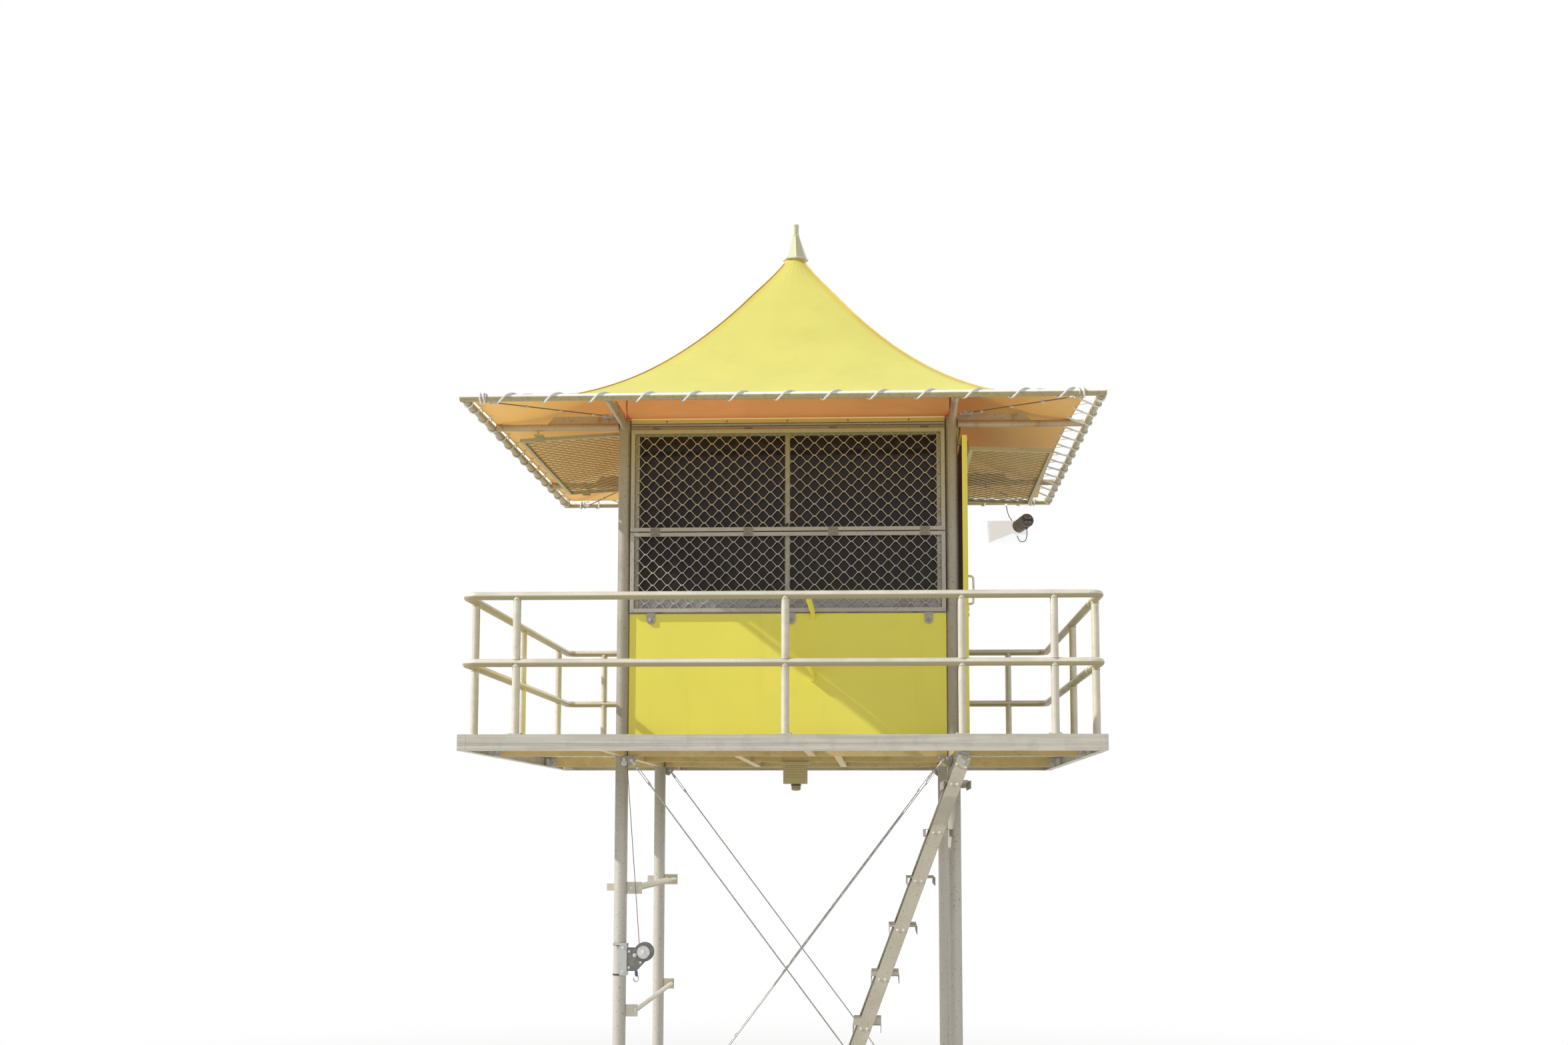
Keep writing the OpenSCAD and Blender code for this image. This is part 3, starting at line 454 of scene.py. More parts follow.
def cloth(name, colour, shade_and_soil_colour, painted_glow, ridges=0.45, folds=6.0):
    """Coated knit: fine weave and soil, painted shade beside the ridge seams, and where it glows, painted
    light of sun through the cloth with painted fold shade and a yellower outer band.
    """
    f = Finish(name)
    side = (abs(f.y) - abs(f.x)).ramp(-0.004, 0.004)
    across = f.x * side + f.y * (1.0 - side)
    weft = (f.z * 1700.0).sine() * 0.5 + 0.5
    warp = (across * 1700.0).sine() * 0.5 + 0.5
    # Painted shade beside the ridge seams, where the cloth turns away from the light
    ridge = 1.0 - abs(abs(f.x) - abs(f.y)).ramp(0.010, 0.085)
    cloud = f.noise(2.4, 3.0).ramp(0.3, 0.7)
    soil = f.noise(5.0, 5.0, (1.0, 1.0, 0.45)).ramp(0.52, 0.76)
    tone = f.mix(cloud, shade(colour, 0.97), shade(colour, 1.03))
    if painted_glow:
        # Painted shade of folds: faint dark streaks down the underside
        streaks = f.noise(2.6, 4.0, (1.0, 1.0, 7.0)).ramp(0.52, 0.70)
        tone = f.mix(streaks * 0.22, tone, shade_and_soil_colour)
        # Painted light: the outer band of the underside turns yellower, as more sun shines through it there
        outer = (abs(f.x).most(abs(f.y)) + f.noise(3.0, 3.0) * 0.3).ramp(1.36, 1.86)
        tone = f.mix(outer, tone, (colour[0] * 0.95, colour[1] * 1.14, colour[2]))
    tone = f.mix(soil * 0.10, tone, shade_and_soil_colour)
    tone = f.mix(ridge * ridges, tone, shade_and_soil_colour)
    weave = weft * warp
    height = weave * 0.25 + f.noise(260.0, 1.0) * 0.3 + f.noise(2.8, 2.0) * folds
    material = f.surface(
        tone, 0.62 + weave * 0.06, f.bump(height, 0.0005, 0.45), sheen_weight=0.12, sheen_roughness=0.5)
    # Painted light: the emission stands in for sunlight through the cloth, full towards the left and faint
    # on the right
    if painted_glow:
        shader = next(n for n in f.tree.nodes if n.type == "BSDF_PRINCIPLED")
        lit = f.mix((f.x * -1.0).ramp(-1.7, 0.6), shade(colour, 0.30), tone)
        f.tree.links.new(lit.socket, shader.inputs["Emission Color"])
        shader.inputs["Emission Strength"].default_value = painted_glow
    return material


def cord_finish(name, colour, pitch):
    """Laid cord: strands that wind round it."""
    f = Finish(name)
    strand = ((f.x + f.y * 0.8 + f.z * 0.9) * (6.283 / pitch)).sine() * 0.5 + 0.5
    soil = f.noise(30.0, 3.0).ramp(0.45, 0.75)
    tone = f.mix(strand * 0.35, colour, shade(colour, 0.62))
    tone = f.mix(soil * 0.25, tone, (0.34, 0.30, 0.22))
    return f.surface(tone, 0.72, f.bump(strand, 0.0015, 0.7))


def plain_plastic(name, colour, roughness=0.5):
    """Moulded plastic or rubber with a fine grain and dusty patches."""
    f = Finish(name)
    dust = f.noise(24.0, 4.0).ramp(0.48, 0.72)
    tone = f.mix(dust * 0.22, colour, (0.45, 0.42, 0.36))
    return f.surface(tone, roughness + dust * 0.15, f.bump(f.noise(320.0, 1.0), 0.0003, 0.4))


def window_glass(name, colour):
    """Tinted glass with a thin film of salt toward its edges."""
    f = Finish(name)
    salt = f.noise(13.0, 5.0).ramp(0.46, 0.80)
    tone = f.mix(salt * 0.16, colour, (0.14, 0.12, 0.10))
    return f.surface(tone, 0.05 + salt * 0.16, alpha=0.94, specular_ior_level=0.18)


def slat_alloy(name, colour):
    """Ribbed deck planks, worn bright on the ribs and darker between them."""
    f = Finish(name)
    rib = (f.x * (ONE_WAVE / RIB_PITCH)).sine() * 0.5 + 0.5
    top = f.facing()[2].ramp(0.5, 0.8)
    worn = f.noise(6.0, 4.0, (1.0, 0.35, 1.0)).ramp(0.40, 0.66)
    tone = f.mix(worn, shade(colour, 0.82), shade(colour, 1.08))
    tone = f.mix((1.0 - rib) * top * 0.45, tone, shade(colour, 0.50))
    return f.surface(tone, 0.46 - worn * 0.08, f.bump(rib * top, 0.0016, 0.8), metallic=0.30)


def tread_alloy(name, colour):
    """Ladder treads with raised grip bars across them."""
    f = Finish(name)
    bars = (f.y * (ONE_WAVE / GRIP_BAR_PITCH)).sine().ramp(0.1, 0.6) * f.facing()[2].ramp(0.5, 0.8)
    worn = f.noise(12.0, 4.0).ramp(0.40, 0.66)
    tone = f.mix(worn, shade(colour, 0.80), shade(colour, 1.08))
    tone = f.mix(bars * 0.25, tone, shade(colour, 1.25))
    return f.surface(tone, 0.46, f.bump(bars, 0.002, 0.7), metallic=0.32)


MAKERS = {
    # The posts carry a painted warm tint high up and painted sunlight below the deck
    "post_alloy": lambda name, c: weathered_alloy(name, c.alloy, 0.30, (1, 1, 0.2), 0.16, 0.5, painted_sun=1.0),
    # The rails' darker olive undersides are painted shade
    "rail_alloy": lambda name, c: weathered_alloy(name, c.rail, 0.25, (0.3, 0.3, 1), 0.06, 0.0,
                                                  (0.42, 0.36, 0.20), 0.22),
    "edge_alloy": lambda name, c: brushed_alloy(name, shade(c.rail, 0.78), (0.05, 0.05, 1.6)),
    # The bearers' golden tone is partly painted warm light, bounced up from the ground under the deck
    "beam_alloy": lambda name, c: weathered_alloy(name, (0.58, 0.44, 0.17), 0.15, None, 0.3),
    "slat_alloy": lambda name, c: slat_alloy(name, c.rail),
    "floor_board": lambda name, c: plain_plastic(name, (0.28, 0.28, 0.26), 0.7),
    # Frames, tracks and grille carry a painted warm tint high on the walls
    "frame_alloy": lambda name, c: brushed_alloy(name, c.alloy, (0.6, 0.6, 0.08), 0.8),
    "track_alloy": lambda name, c: brushed_alloy(name, shade(c.alloy, 0.9), (0.06, 0.06, 1.4), 0.8),
    "grille_alloy": lambda name, c: weathered_alloy(name, c.grille, 0.20, None, 0.10, 0.8),
    "tread_alloy": lambda name, c: tread_alloy(name, shade(c.alloy, 1.02)),
    # The ladder's alloy is the frame alloy made paler: painted sunlight, as on the posts below the deck
    "ladder_alloy": lambda name, c: weathered_alloy(name, shade(c.alloy, 1.35), 0.30, (1, 1, 0.2)),
    "bracket_steel": lambda name, c: galvanised(name, (0.37, 0.345, 0.30)),
    "leaf_steel": lambda name, c: galvanised(name, (0.22, 0.19, 0.145)),
    "bead_alloy": lambda name, c: weathered_alloy(name, (0.36, 0.36, 0.23), 0.2, None, 0.25),
    "sill_alloy": lambda name, c: brushed_alloy(name, (0.31, 0.30, 0.295), (0.06, 0.06, 1.4)),
    # A pale strip along the head beams' top edge is a painted highlight
    "line_paint": lambda name, c: panel_paint(name, (0.96, 0.88, 0.42)),
    "zinc": lambda name, c: galvanised(name, (0.50, 0.50, 0.47)),
    "bright_steel": lambda name, c: galvanised(name, (0.66, 0.65, 0.62)),
    "winch_steel": lambda name, c: winch_steel(name, (0.20, 0.195, 0.18), (0.55, 0.55, 0.52)),
    "finial_coat": lambda name, c: finial_coat(name, c.white, (0.80, 0.75, 0.38)),
    "panel_paint": lambda name, c: panel_paint(name, c.panel),
    "trim_paint": lambda name, c: panel_paint(name, shade(c.panel, 0.98)),
    "door_paint": lambda name, c: door_paint(name, c.panel, (0.17, 0.105, 0.085)),
    "white_coat": lambda name, c: white_coat(name, c.white),
    # The roof tubes' dull lower sides are painted shade, with lichen in it
    "tube_coat": lambda name, c: white_coat(name, shade(c.white, 1.25), 0.10, (0.44, 0.37, 0.18)),
    "outrigger_alloy": lambda name, c: weathered_alloy(name, (0.50, 0.40, 0.24), 0.2, None, 0.55),
    "beam_paint": lambda name, c: panel_paint(name, (0.62, 0.47, 0.13)),
    # The horn glows with painted light
    "horn_coat": lambda name, c: white_coat(name, (0.95, 0.95, 0.94), 0.01, None, 0.46),
    # The roof's sides and hem get painted shade beside the ridges; its underside and the lining also a
    # painted glow of sun through the cloth
    "fabric_top": lambda name, c: cloth(name, c.fabric, (0.72, 0.43, 0.05), 0.0),
    "fabric_under": lambda name, c: cloth(name, c.fabric_under, (0.66, 0.26, 0.05), 0.25, 0.6, 30.0),
    "lining_cloth": lambda name, c: cloth(name, (0.68, 0.38, 0.14), (0.56, 0.24, 0.08), 0.16, 0.0, 16.0),
    "corner_webbing": lambda name, c: plain_plastic(name, (0.80, 0.13, 0.10), 0.6),
    "fabric_hem": lambda name, c: cloth(name, shade(c.fabric, 0.92), (0.66, 0.42, 0.06), 0.0),
    "lacing_cord": lambda name, c: cord_finish(name, (0.92, 0.91, 0.86), 0.012),
    "steel_cable": lambda name, c: cord_finish(name, (0.23, 0.17, 0.11), 0.008),
    "black_rubber": lambda name, c: plain_plastic(name, (0.022, 0.021, 0.020), 0.6),
    "blue_grip": lambda name, c: plain_plastic(name, (0.03, 0.09, 0.30), 0.45),
    "grey_plastic": lambda name, c: plain_plastic(name, (0.12, 0.10, 0.08), 0.5),
    "pale_plastic": lambda name, c: plain_plastic(name, (0.52, 0.49, 0.43), 0.5),
    "box_plastic": lambda name, c: plain_plastic(name, (0.52, 0.42, 0.19), 0.5),
    "lamp_glass": lambda name, c: plain_plastic(name, (0.055, 0.045, 0.035), 0.25),
    "glass": lambda name, c: window_glass(name, c.glass),
}
made_finishes = {}


def finish(name):
    """The material of that name, made the first time it is asked for."""
    if name not in made_finishes:
        made_finishes[name] = MAKERS[name](name, bpy.context.scene.tower_colours)
    return made_finishes[name]


def new_object(name, data):
    """An object of that name and data, in the scene."""
    made = bpy.data.objects.new(name, data)
    bpy.context.scene.collection.objects.link(made)
    return made


def coat(node, name):
    """Gives a node of the solid model its finish."""
    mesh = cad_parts[node].data
    mesh.materials.clear()
    mesh.materials.append(finish(name))


# Shapes


def upright(at, axis):
    """A frame at a point whose Z runs along axis."""
    return Matrix.Translation(Vector(at)) @ Vector(axis).to_track_quat("Z", "Y").to_matrix().to_4x4()


def quarter_turns():
    return [Matrix.Rotation(math.radians(90 * k), 4, "Z") for k in range(4)]


def corner_name(sx, sy):
    """The corner of the tower that lies towards the signs sx and sy."""
    return ("front" if sy < 0 else "rear") + ("_left" if sx < 0 else "_right")


def gear_outline(teeth, tip, root):
    """The outline of a spur gear between the radius of its tips and that of its roots."""
    outline = []
    for k in range(teeth * 4):
        a = 2 * math.pi * k / (teeth * 4)
        r = tip if k % 4 in (0, 1) else root
        outline.append((r * math.cos(a), r * math.sin(a)))
    return outline


class Shape:
    """Collects the points and faces of one piece, in metres."""

    def __init__(self):
        self.points = []
        self.faces = []
        self.marks = []
        self.mark = 0

    def add(self, points, faces, matrix=None):
        base = len(self.points)
        self.points += [matrix @ Vector(p) if matrix else Vector(p) for p in points]
        self.faces += [[base + i for i in face] for face in faces]
        self.marks += [self.mark] * len(faces)

    def block(self, low, high, edge=0.001, matrix=None):
        """A block between two corners, with its edges broken."""
        mid = [(a + b) / 2 for a, b in zip(low, high)]
        half = [abs(b - a) / 2 for a, b in zip(low, high)]
        edge = min(edge, min(half) * 0.6)
        index, points = {}, []
        for sx in (-1, 1):
            for sy in (-1, 1):
                for sz in (-1, 1):
                    for axis in range(3):
                        sign = (sx, sy, sz)
                        index[sign, axis] = len(points)
                        points.append([
                            mid[k] + sign[k] * (half[k] - (0 if k == axis else edge)) for k in range(3)])
        faces = []

        def sign_of(pairs):
            made = [0, 0, 0]
            for k, s in pairs:
                made[k] = s
            return tuple(made)

        for a in range(3):
            b, c = (a + 1) % 3, (a + 2) % 3
            for s in (-1, 1):
                faces.append([index[sign_of([(a, s), (b, p), (c, q)]), a]
                              for p, q in ((-1, -1), (1, -1), (1, 1), (-1, 1))])
                for t in (-1, 1):
                    ends = [sign_of([(a, s), (b, t), (c, q)]) for q in (-1, 1)]
                    faces.append([index[ends[0], a], index[ends[1], a], index[ends[1], b],
                                  index[ends[0], b]])
        faces += [[index[sign, k] for k in range(3)] for sign, axis in index if axis == 0]
        self.add(points, faces, matrix)

    def turned(self, profile, matrix, sides=20):
        """A profile of (radius, height) turned about the frame's Z."""
        points, faces = [], []
        for radius, height in profile:
            for k in range(sides):
                a = 2 * math.pi * k / sides
                points.append((radius * math.cos(a), radius * math.sin(a), height))
        for i in range(len(profile) - 1):
            for k in range(sides):
                n = (k + 1) % sides
                faces.append([i * sides + k, i * sides + n, (i + 1) * sides + n, (i + 1) * sides + k])
        faces.append(list(range(sides))[::-1])
        faces.append([(len(profile) - 1) * sides + k for k in range(sides)])
        self.add(points, faces, matrix)

    def ring(self, matrix, radius, thick, around=20, across=8, flat=1.0):
        """A ring about the frame's Z, of a round section that flat stretches along Z."""
        points, faces = [], []
        for i in range(around):
            a = 2 * math.pi * i / around
            for k in range(across):
                b = 2 * math.pi * k / across
                r = radius + thick * math.cos(b)
                points.append((r * math.cos(a), r * math.sin(a), thick * flat * math.sin(b)))
        for i in range(around):
            for k in range(across):
                j, n = (i + 1) % around, (k + 1) % across
                faces.append([i * across + k, j * across + k, j * across + n, i * across + n])
        self.add(points, faces, matrix)

    def tube(self, path, radius, sides=8):
        """A round tube along a path of points."""
        line = [Vector(p) for p in path]
        count = len(line)
        points, faces = [], []
        up = None
        for i, at in enumerate(line):
            ahead = line[min(i + 1, count - 1)]
            behind = line[max(i - 1, 0)]
            way = (ahead - behind).normalized()
            if up is None:
                up = way.orthogonal().normalized()
            up = (up - way * up.dot(way)).normalized()
            side = way.cross(up)
            for k in range(sides):
                a = 2 * math.pi * k / sides
                points.append(at + up * (radius * math.cos(a)) + side * (radius * math.sin(a)))
        for i in range(count - 1):
            for k in range(sides):
                n = (k + 1) % sides
                faces.append([i * sides + k, i * sides + n, (i + 1) * sides + n, (i + 1) * sides + k])
        faces.append(list(range(sides))[::-1])
        faces.append([(count - 1) * sides + k for k in range(sides)])
        self.add(points, faces)

    def plate(self, outline, low, high, matrix=None):
        """A flat plate: an outline in X and Y, from height low to high."""
        count = len(outline)
        points = [(x, y, low) for x, y in outline] + [(x, y, high) for x, y in outline]
        faces = [list(range(count))[::-1], list(range(count, 2 * count))]
        faces += [[k, (k + 1) % count, count + (k + 1) % count, count + k] for k in range(count)]
        self.add(points, faces, matrix)

    def hex_bolt(self, at, axis, width, stub=0.0):
        """A hexagon head or nut on its washer, standing on a face, with a thread stub."""
        place = upright(at, axis)
        foot = width * 0.12
        self.turned([(width * 0.82, -0.001), (width * 0.82, foot * 0.8), (width * 0.76, foot)], place, 16)
        r = width / 2 / math.cos(math.pi / 6)
        top = foot + width * 0.42
        self.turned([(r, foot - 0.0005), (r, top - width * 0.06), (r * 0.86, top)], place, 6)
        if stub:
            self.turned([(width * 0.28, top - 0.001), (width * 0.28, top + stub),
                         (width * 0.22, top + stub + width * 0.06)], place, 12)

    def dome(self, at, axis, width, height, sides=10):
        """A low round screw head."""
        r = width / 2
        self.turned([(r, -0.0006), (r, height * 0.25), (r * 0.82, height * 0.72), (r * 0.45, height)],
                    upright(at, axis), sides)


def piece(name, shape, finishes, body="tower", crease=35):
    """Makes an object of a shape and lets it ride on a body of the model."""
    names = [finishes] if isinstance(finishes, str) else finishes
    mesh = bpy.data.meshes.new(name)
    mesh.from_pydata([tuple(p) for p in shape.points], [], shape.faces)
    mesh.polygons.foreach_set("material_index", shape.marks)
    for each in names:
        mesh.materials.append(finish(each))
    tidy = bmesh.new()
    tidy.from_mesh(mesh)
    bmesh.ops.recalc_face_normals(tidy, faces=tidy.faces)
    tidy.to_mesh(mesh)
    tidy.free()
    mesh.shade_smooth()
    mesh.set_sharp_from_angle(angle=math.radians(crease))
    made = new_object(name, mesh)
    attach(made, body)
    return made


def free_cord(name, points, diameter, look):
    """A real cord as a curve through points; both of its ends are on the object."""
    data = bpy.data.curves.new(name, "CURVE")
    data.dimensions = "3D"
    data.bevel_depth = diameter / 2
    data.bevel_resolution = 3
    data.use_fill_caps = True
    line = data.splines.new("POLY")
    line.points.add(len(points) - 1)
    for knot, p in zip(line.points, points):
        knot.co = (*p, 1.0)
    data.materials.append(finish(look))
    made = new_object(name, data)
    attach(made, "tower")


def straight(a, b, count=17):
    """Points spaced along a straight line."""
    a, b = Vector(a), Vector(b)
    return [a.lerp(b, k / (count - 1)) for k in range(count)]


# Roof fabric


def fall(r):
    """The roof's curve: how far the ridge rises, not to scale, at r from the middle."""
    return (1 - r / FALL_R) ** 2.042 + 0.012 * (1 - r / FALL_R) ** 14


def ridge_z(r):
    """The ridge's height at r from the middle, along X or Y."""
    share = (fall(r) - fall(HEM_R)) / (fall(TOP_R) - fall(HEM_R))
    return HEM_Z + (PEAK_Z - HEM_Z) * share


def bulge(t):
    """How much farther out the fabric stands at the middle of a side than at its corners."""
    return 1 + 0.045 * math.sin(math.pi * min(1.0, t / 0.8))


def fabric_point(t, s):
    """The fabric over the front side: t runs from the top ring to the hem, s from corner to corner."""
    r = TOP_R + (HEM_R - TOP_R) * t
    corner = 1 - 0.22 * (1 - t / 0.14) ** 2 if t < 0.14 else 1.0
    out = r * (corner * s * s + bulge(t) * (1 - s * s))
    if t > 0.8:
        out -= 0.042 * ((t - 0.8) / 0.2) ** 2 * (1 - s * s)
    return Vector((r * corner * s, -out, ridge_z(r)))


def hem_y(x):
    """How far out the hem of the front side is at x."""
    s = x / HEM_R
    return -(HEM_R - 0.042 * (1 - s * s))


def drawn_left(p):
    """The left edge of the roof is laced closer to its tube than the other three."""
    share = min(1.0, max(0.0, -2 * p.x / HEM_R - 1))
    shift = (0.064 + 0.038 * (1 - (p.y / HEM_R) ** 2)) * share * share * (3 - 2 * share)
    return Vector((p.x - shift, p.y, p.z))


def fabric_height(x, y):
    """How high the fabric is above a place of the front side."""
    r = y
    for _ in range(12):
        side = bulge((r - TOP_R) / (HEM_R - TOP_R))
        r = (y + (side - 1) * x * x / r) / side
    return ridge_z(r)


# Stage


class TOWER_OT_stage(bpy.types.Operator):
    """Makes the camera, the lights and the floor"""

    bl_idname = "tower.stage"
    bl_label = "Stage"

    def execute(self, context):
        scene = context.scene
        values = scene.tower_stage
        scene.view_settings.view_transform = "Standard"
        data = bpy.data.cameras.new("camera")
        data.sensor_fit = "HORIZONTAL"
        data.sensor_width = 36.0
        data.lens = values.lens
        data.shift_y = values.rise
        data.clip_end = 400.0
        camera = new_object("camera", data)
        camera.matrix_world = (
            Matrix.Translation(Vector(values.eye))
            @ Matrix.Rotation(values.yaw, 4, "Z")
            @ Matrix.Rotation(math.pi / 2 + values.pitch, 4, "X")
            @ Matrix.Rotation(values.roll, 4, "Z"))
        scene.camera = camera
        self.world(scene, values)
        self.lamp("key", values.key, (0.77, 0.22, -0.60), 0.012)
        self.lamp("fill", values.key * 0.03, (-0.30, 0.85, -0.30), 0.9)
        self.lamp("back", values.key * 0.12, (-0.30, -0.75, -0.55), 0.9)
        self.floor()
        return {"FINISHED"}

    def lamp(self, name, strength, way, spread):
        """A sun that shines along way, as wide as the angle spread."""
        data = bpy.data.lights.new(name, "SUN")
        data.energy = strength
        data.angle = spread
        lamp = new_object(name, data)
        lamp.rotation_mode = "QUATERNION"
        lamp.rotation_quaternion = Vector(way).to_track_quat("-Z", "Y")
        lamp.location = Vector(way) * -12

    def world(self, scene, values):
        """Soft light all round that the camera, glass and metal see as white."""
        world = bpy.data.worlds.new("studio")
        world.use_nodes = True
        scene.world = world
        nodes, links = world.node_tree.nodes, world.node_tree.links
        nodes.clear()
        rays = nodes.new("ShaderNodeLightPath")
        seen = nodes.new("ShaderNodeMath")
        seen.operation = "MAXIMUM"
        links.new(rays.outputs["Is Camera Ray"], seen.inputs[0])
        links.new(rays.outputs["Is Transmission Ray"], seen.inputs[1])
        shown = nodes.new("ShaderNodeMath")
        shown.operation = "MAXIMUM"
        links.new(seen.outputs[0], shown.inputs[0])
        links.new(rays.outputs["Is Glossy Ray"], shown.inputs[1])
        strength = nodes.new("ShaderNodeMapRange")
        strength.inputs["To Min"].default_value = values.ambient
        strength.inputs["To Max"].default_value = 1.0
        links.new(shown.outputs[0], strength.inputs["Value"])
        light = nodes.new("ShaderNodeBackground")
        light.inputs["Color"].default_value = (1, 1, 1, 1)
        links.new(strength.outputs[0], light.inputs["Strength"])
        out = nodes.new("ShaderNodeOutputWorld")
        links.new(light.outputs[0], out.inputs["Surface"])

    def floor(self):
        """A pale disc that keeps the tower's shadow and fades into the white background."""
        f = Finish("studio_floor")
        away = (f.x * f.x + f.y * f.y) ** 0.5
        fade = away.ramp(4.5, 13.0)
        rays = f.node("ShaderNodeLightPath")
        seen = Value(f, rays.outputs["Is Camera Ray"]).most(Value(f, rays.outputs["Is Glossy Ray"]))
        seen = seen.most(Value(f, rays.outputs["Is Transmission Ray"]))
        matt = f.node("ShaderNodeBsdfDiffuse", None, {"Color": (0.80, 0.80, 0.79, 1.0)})
        white = f.node("ShaderNodeEmission", None, {"Color": (1, 1, 1, 1), "Strength": 1.0})
        both = f.node("ShaderNodeMixShader", None, {
            0: fade * seen, 1: Value(f, matt.outputs[0]), 2: Value(f, white.outputs[0])})
        f.node("ShaderNodeOutputMaterial", None, {"Surface": Value(f, both.outputs[0])})
        mesh = bpy.data.meshes.new("floor")
        rim = [(90 * math.cos(a), 90 * math.sin(a), -0.001)
               for a in (2 * math.pi * k / 96 for k in range(96))]
        mesh.from_pydata(rim, [], [list(range(96))])
        mesh.materials.append(f.material)
        new_object("floor", mesh)


# Cords and cables


SPEAKER = (Matrix.Translation((1.790, ROOF_HALF - 0.030, ROOF - 0.284))
           @ Matrix.Rotation(math.radians(20), 4, "Z") @ Matrix.Rotation(math.radians(-8), 4, "X"))


class TOWER_OT_cables(bpy.types.Operator):
    """Makes the roof's corner cables, the hoist cable and the horn's lead"""

    bl_idname = "tower.cables"
    bl_label = "Cables"

    def execute(self, context):
        sizes = context.scene.tower_sizes
        for sx, sy in CORNERS:
            start = Vector((sx * (POST + 0.122), sy * (POST + 0.030), DECK + 2.318))
            end = Vector((sx * 1.945, sy * (ROOF_HALF - 0.042), ROOF - 0.018))
            self.corner_cable(corner_name(sx, sy), start, end, sizes.cable, sx, sy)
        self.hoist()
        self.lead()
        return {"FINISHED"}

    def corner_cable(self, name, start, end, thick, sx, sy):
        """One cable with its clips, and the eye, shackle and link at its ends."""
        way = (end - start).normalized()
        grips = Shape()
        for share in (0.13, 0.42, 0.71):
            at = start.lerp(end, share)
            grips.turned([(thick * 0.5, -0.014), (thick * 1.15, -0.012), (thick * 1.15, 0.012),
                          (thick * 0.5, 0.014)], upright(at, way), 10)
            grips.ring(upright(at + Vector((0, 0, -thick * 1.2)), UP), thick * 1.1, thick * 0.32, 12, 6)
        for at, out in ((start, 1), (end, -1)):
            grips.turned([(thick * 0.52, 0.0), (thick * 0.95, 0.004), (thick * 0.95, 0.050),
                          (thick * 0.55, 0.058)], upright(at, way * out), 12)
        clips = piece("cable_clips_" + name, grips, "bright_steel")
        free_cord("corner_cable_" + name, straight(start, end), thick, "steel_cable")
        eyes = Shape()
        eyes.block((start.x - 0.040, start.y - 0.006, start.z - 0.016),
                   (start.x + 0.034, start.y + 0.000, start.z + 0.016), 0.002)
        eyes.ring(upright(start + Vector((sx * 0.004, 0, 0)), REAR), 0.014, 0.0045)
        eyes.hex_bolt((start.x - sx * 0.050, start.y - sy * 0.002, start.z), (0, sy, 0), 0.016)
        shackle = [end + way * 0.004 + Vector((0, 0, 0.020)) + Vector((-sy * 0.013 * math.cos(a) * sx,
                   0.013 * math.cos(a) * sy, -0.030 * math.sin(a)))
                   for a in (math.pi * k / 8 for k in range(9))]
        eyes.tube(shackle, 0.0042, 8)
        eyes.ring(upright((sx * (ROOF_HALF - 0.150), sy * ROOF_HALF, ROOF), RIGHT),
                  ROOF_R + 0.004, 0.005, 24)
        link = [end + Vector((0, 0, 0.012)),
                Vector((sx * (ROOF_HALF - 0.150), sy * (ROOF_HALF - ROOF_R - 0.004), ROOF - 0.010))]
        eyes.tube(straight(*link, 4), 0.005, 8)
        piece("cable_eyes_" + name, eyes, "zinc")

    def hoist(self):
        """The cable from the pulley under the deck to the winch's drum."""
        top = Vector((-POST + 0.023 + 0.0215, -POST - POST_R - 0.0136, DECK - 0.157))
        drum = Vector((-POST + 0.171 - 0.031, -POST - 0.010, DECK - 1.510 + 0.051))
        free_cord("hoist_cable", straight(top, drum), 0.005, "steel_cable")

    def lead(self):
        """The lead that hangs in a loop from the roof tube to the horn's driver."""
        start = SPEAKER @ Vector((0.0, -0.340, -0.040))
        end = Vector((1.757, ROOF_HALF - 0.004, ROOF - ROOF_R - 0.004))
        marks = [start + Vector(step) for step in (
            (0, 0, 0), (0.004, -0.010, -0.060), (-0.010, 0.030, -0.115), (-0.050, 0.110, -0.105),
            (-0.075, 0.190, -0.020), (-0.100, 0.250, 0.085), (-0.130, 0.300, 0.150))]
        free_cord("horn_lead", smooth(marks + [end], 30), 0.007, "black_rubber")


def smooth(marks, count):
    """Points spaced along a smooth line through the marks."""
    marks = [Vector(m) for m in marks]
    padded = [marks[0] * 2 - marks[1]] + marks + [marks[-1] * 2 - marks[-2]]
    dense = []
    for i in range(len(marks) - 1):
        a, b, c, d = padded[i:i + 4]
        for k in range(24):
            t = k / 24
            dense.append(0.5 * ((2 * b) + (c - a) * t + (2 * a - 5 * b + 4 * c - d) * t * t
                                + (3 * b - a - 3 * c + d) * t ** 3))
    dense.append(marks[-1])
    lengths = [0.0]
    for a, b in zip(dense, dense[1:]):
        lengths.append(lengths[-1] + (b - a).length)
    made, at = [], 0
    for k in range(count):
        goal = lengths[-1] * k / (count - 1)
        while at < len(dense) - 2 and lengths[at + 1] < goal:
            at += 1
        step = lengths[at + 1] - lengths[at]
        made.append(dense[at].lerp(dense[at + 1], (goal - lengths[at]) / step if step else 0.0))
    return made


# Roof


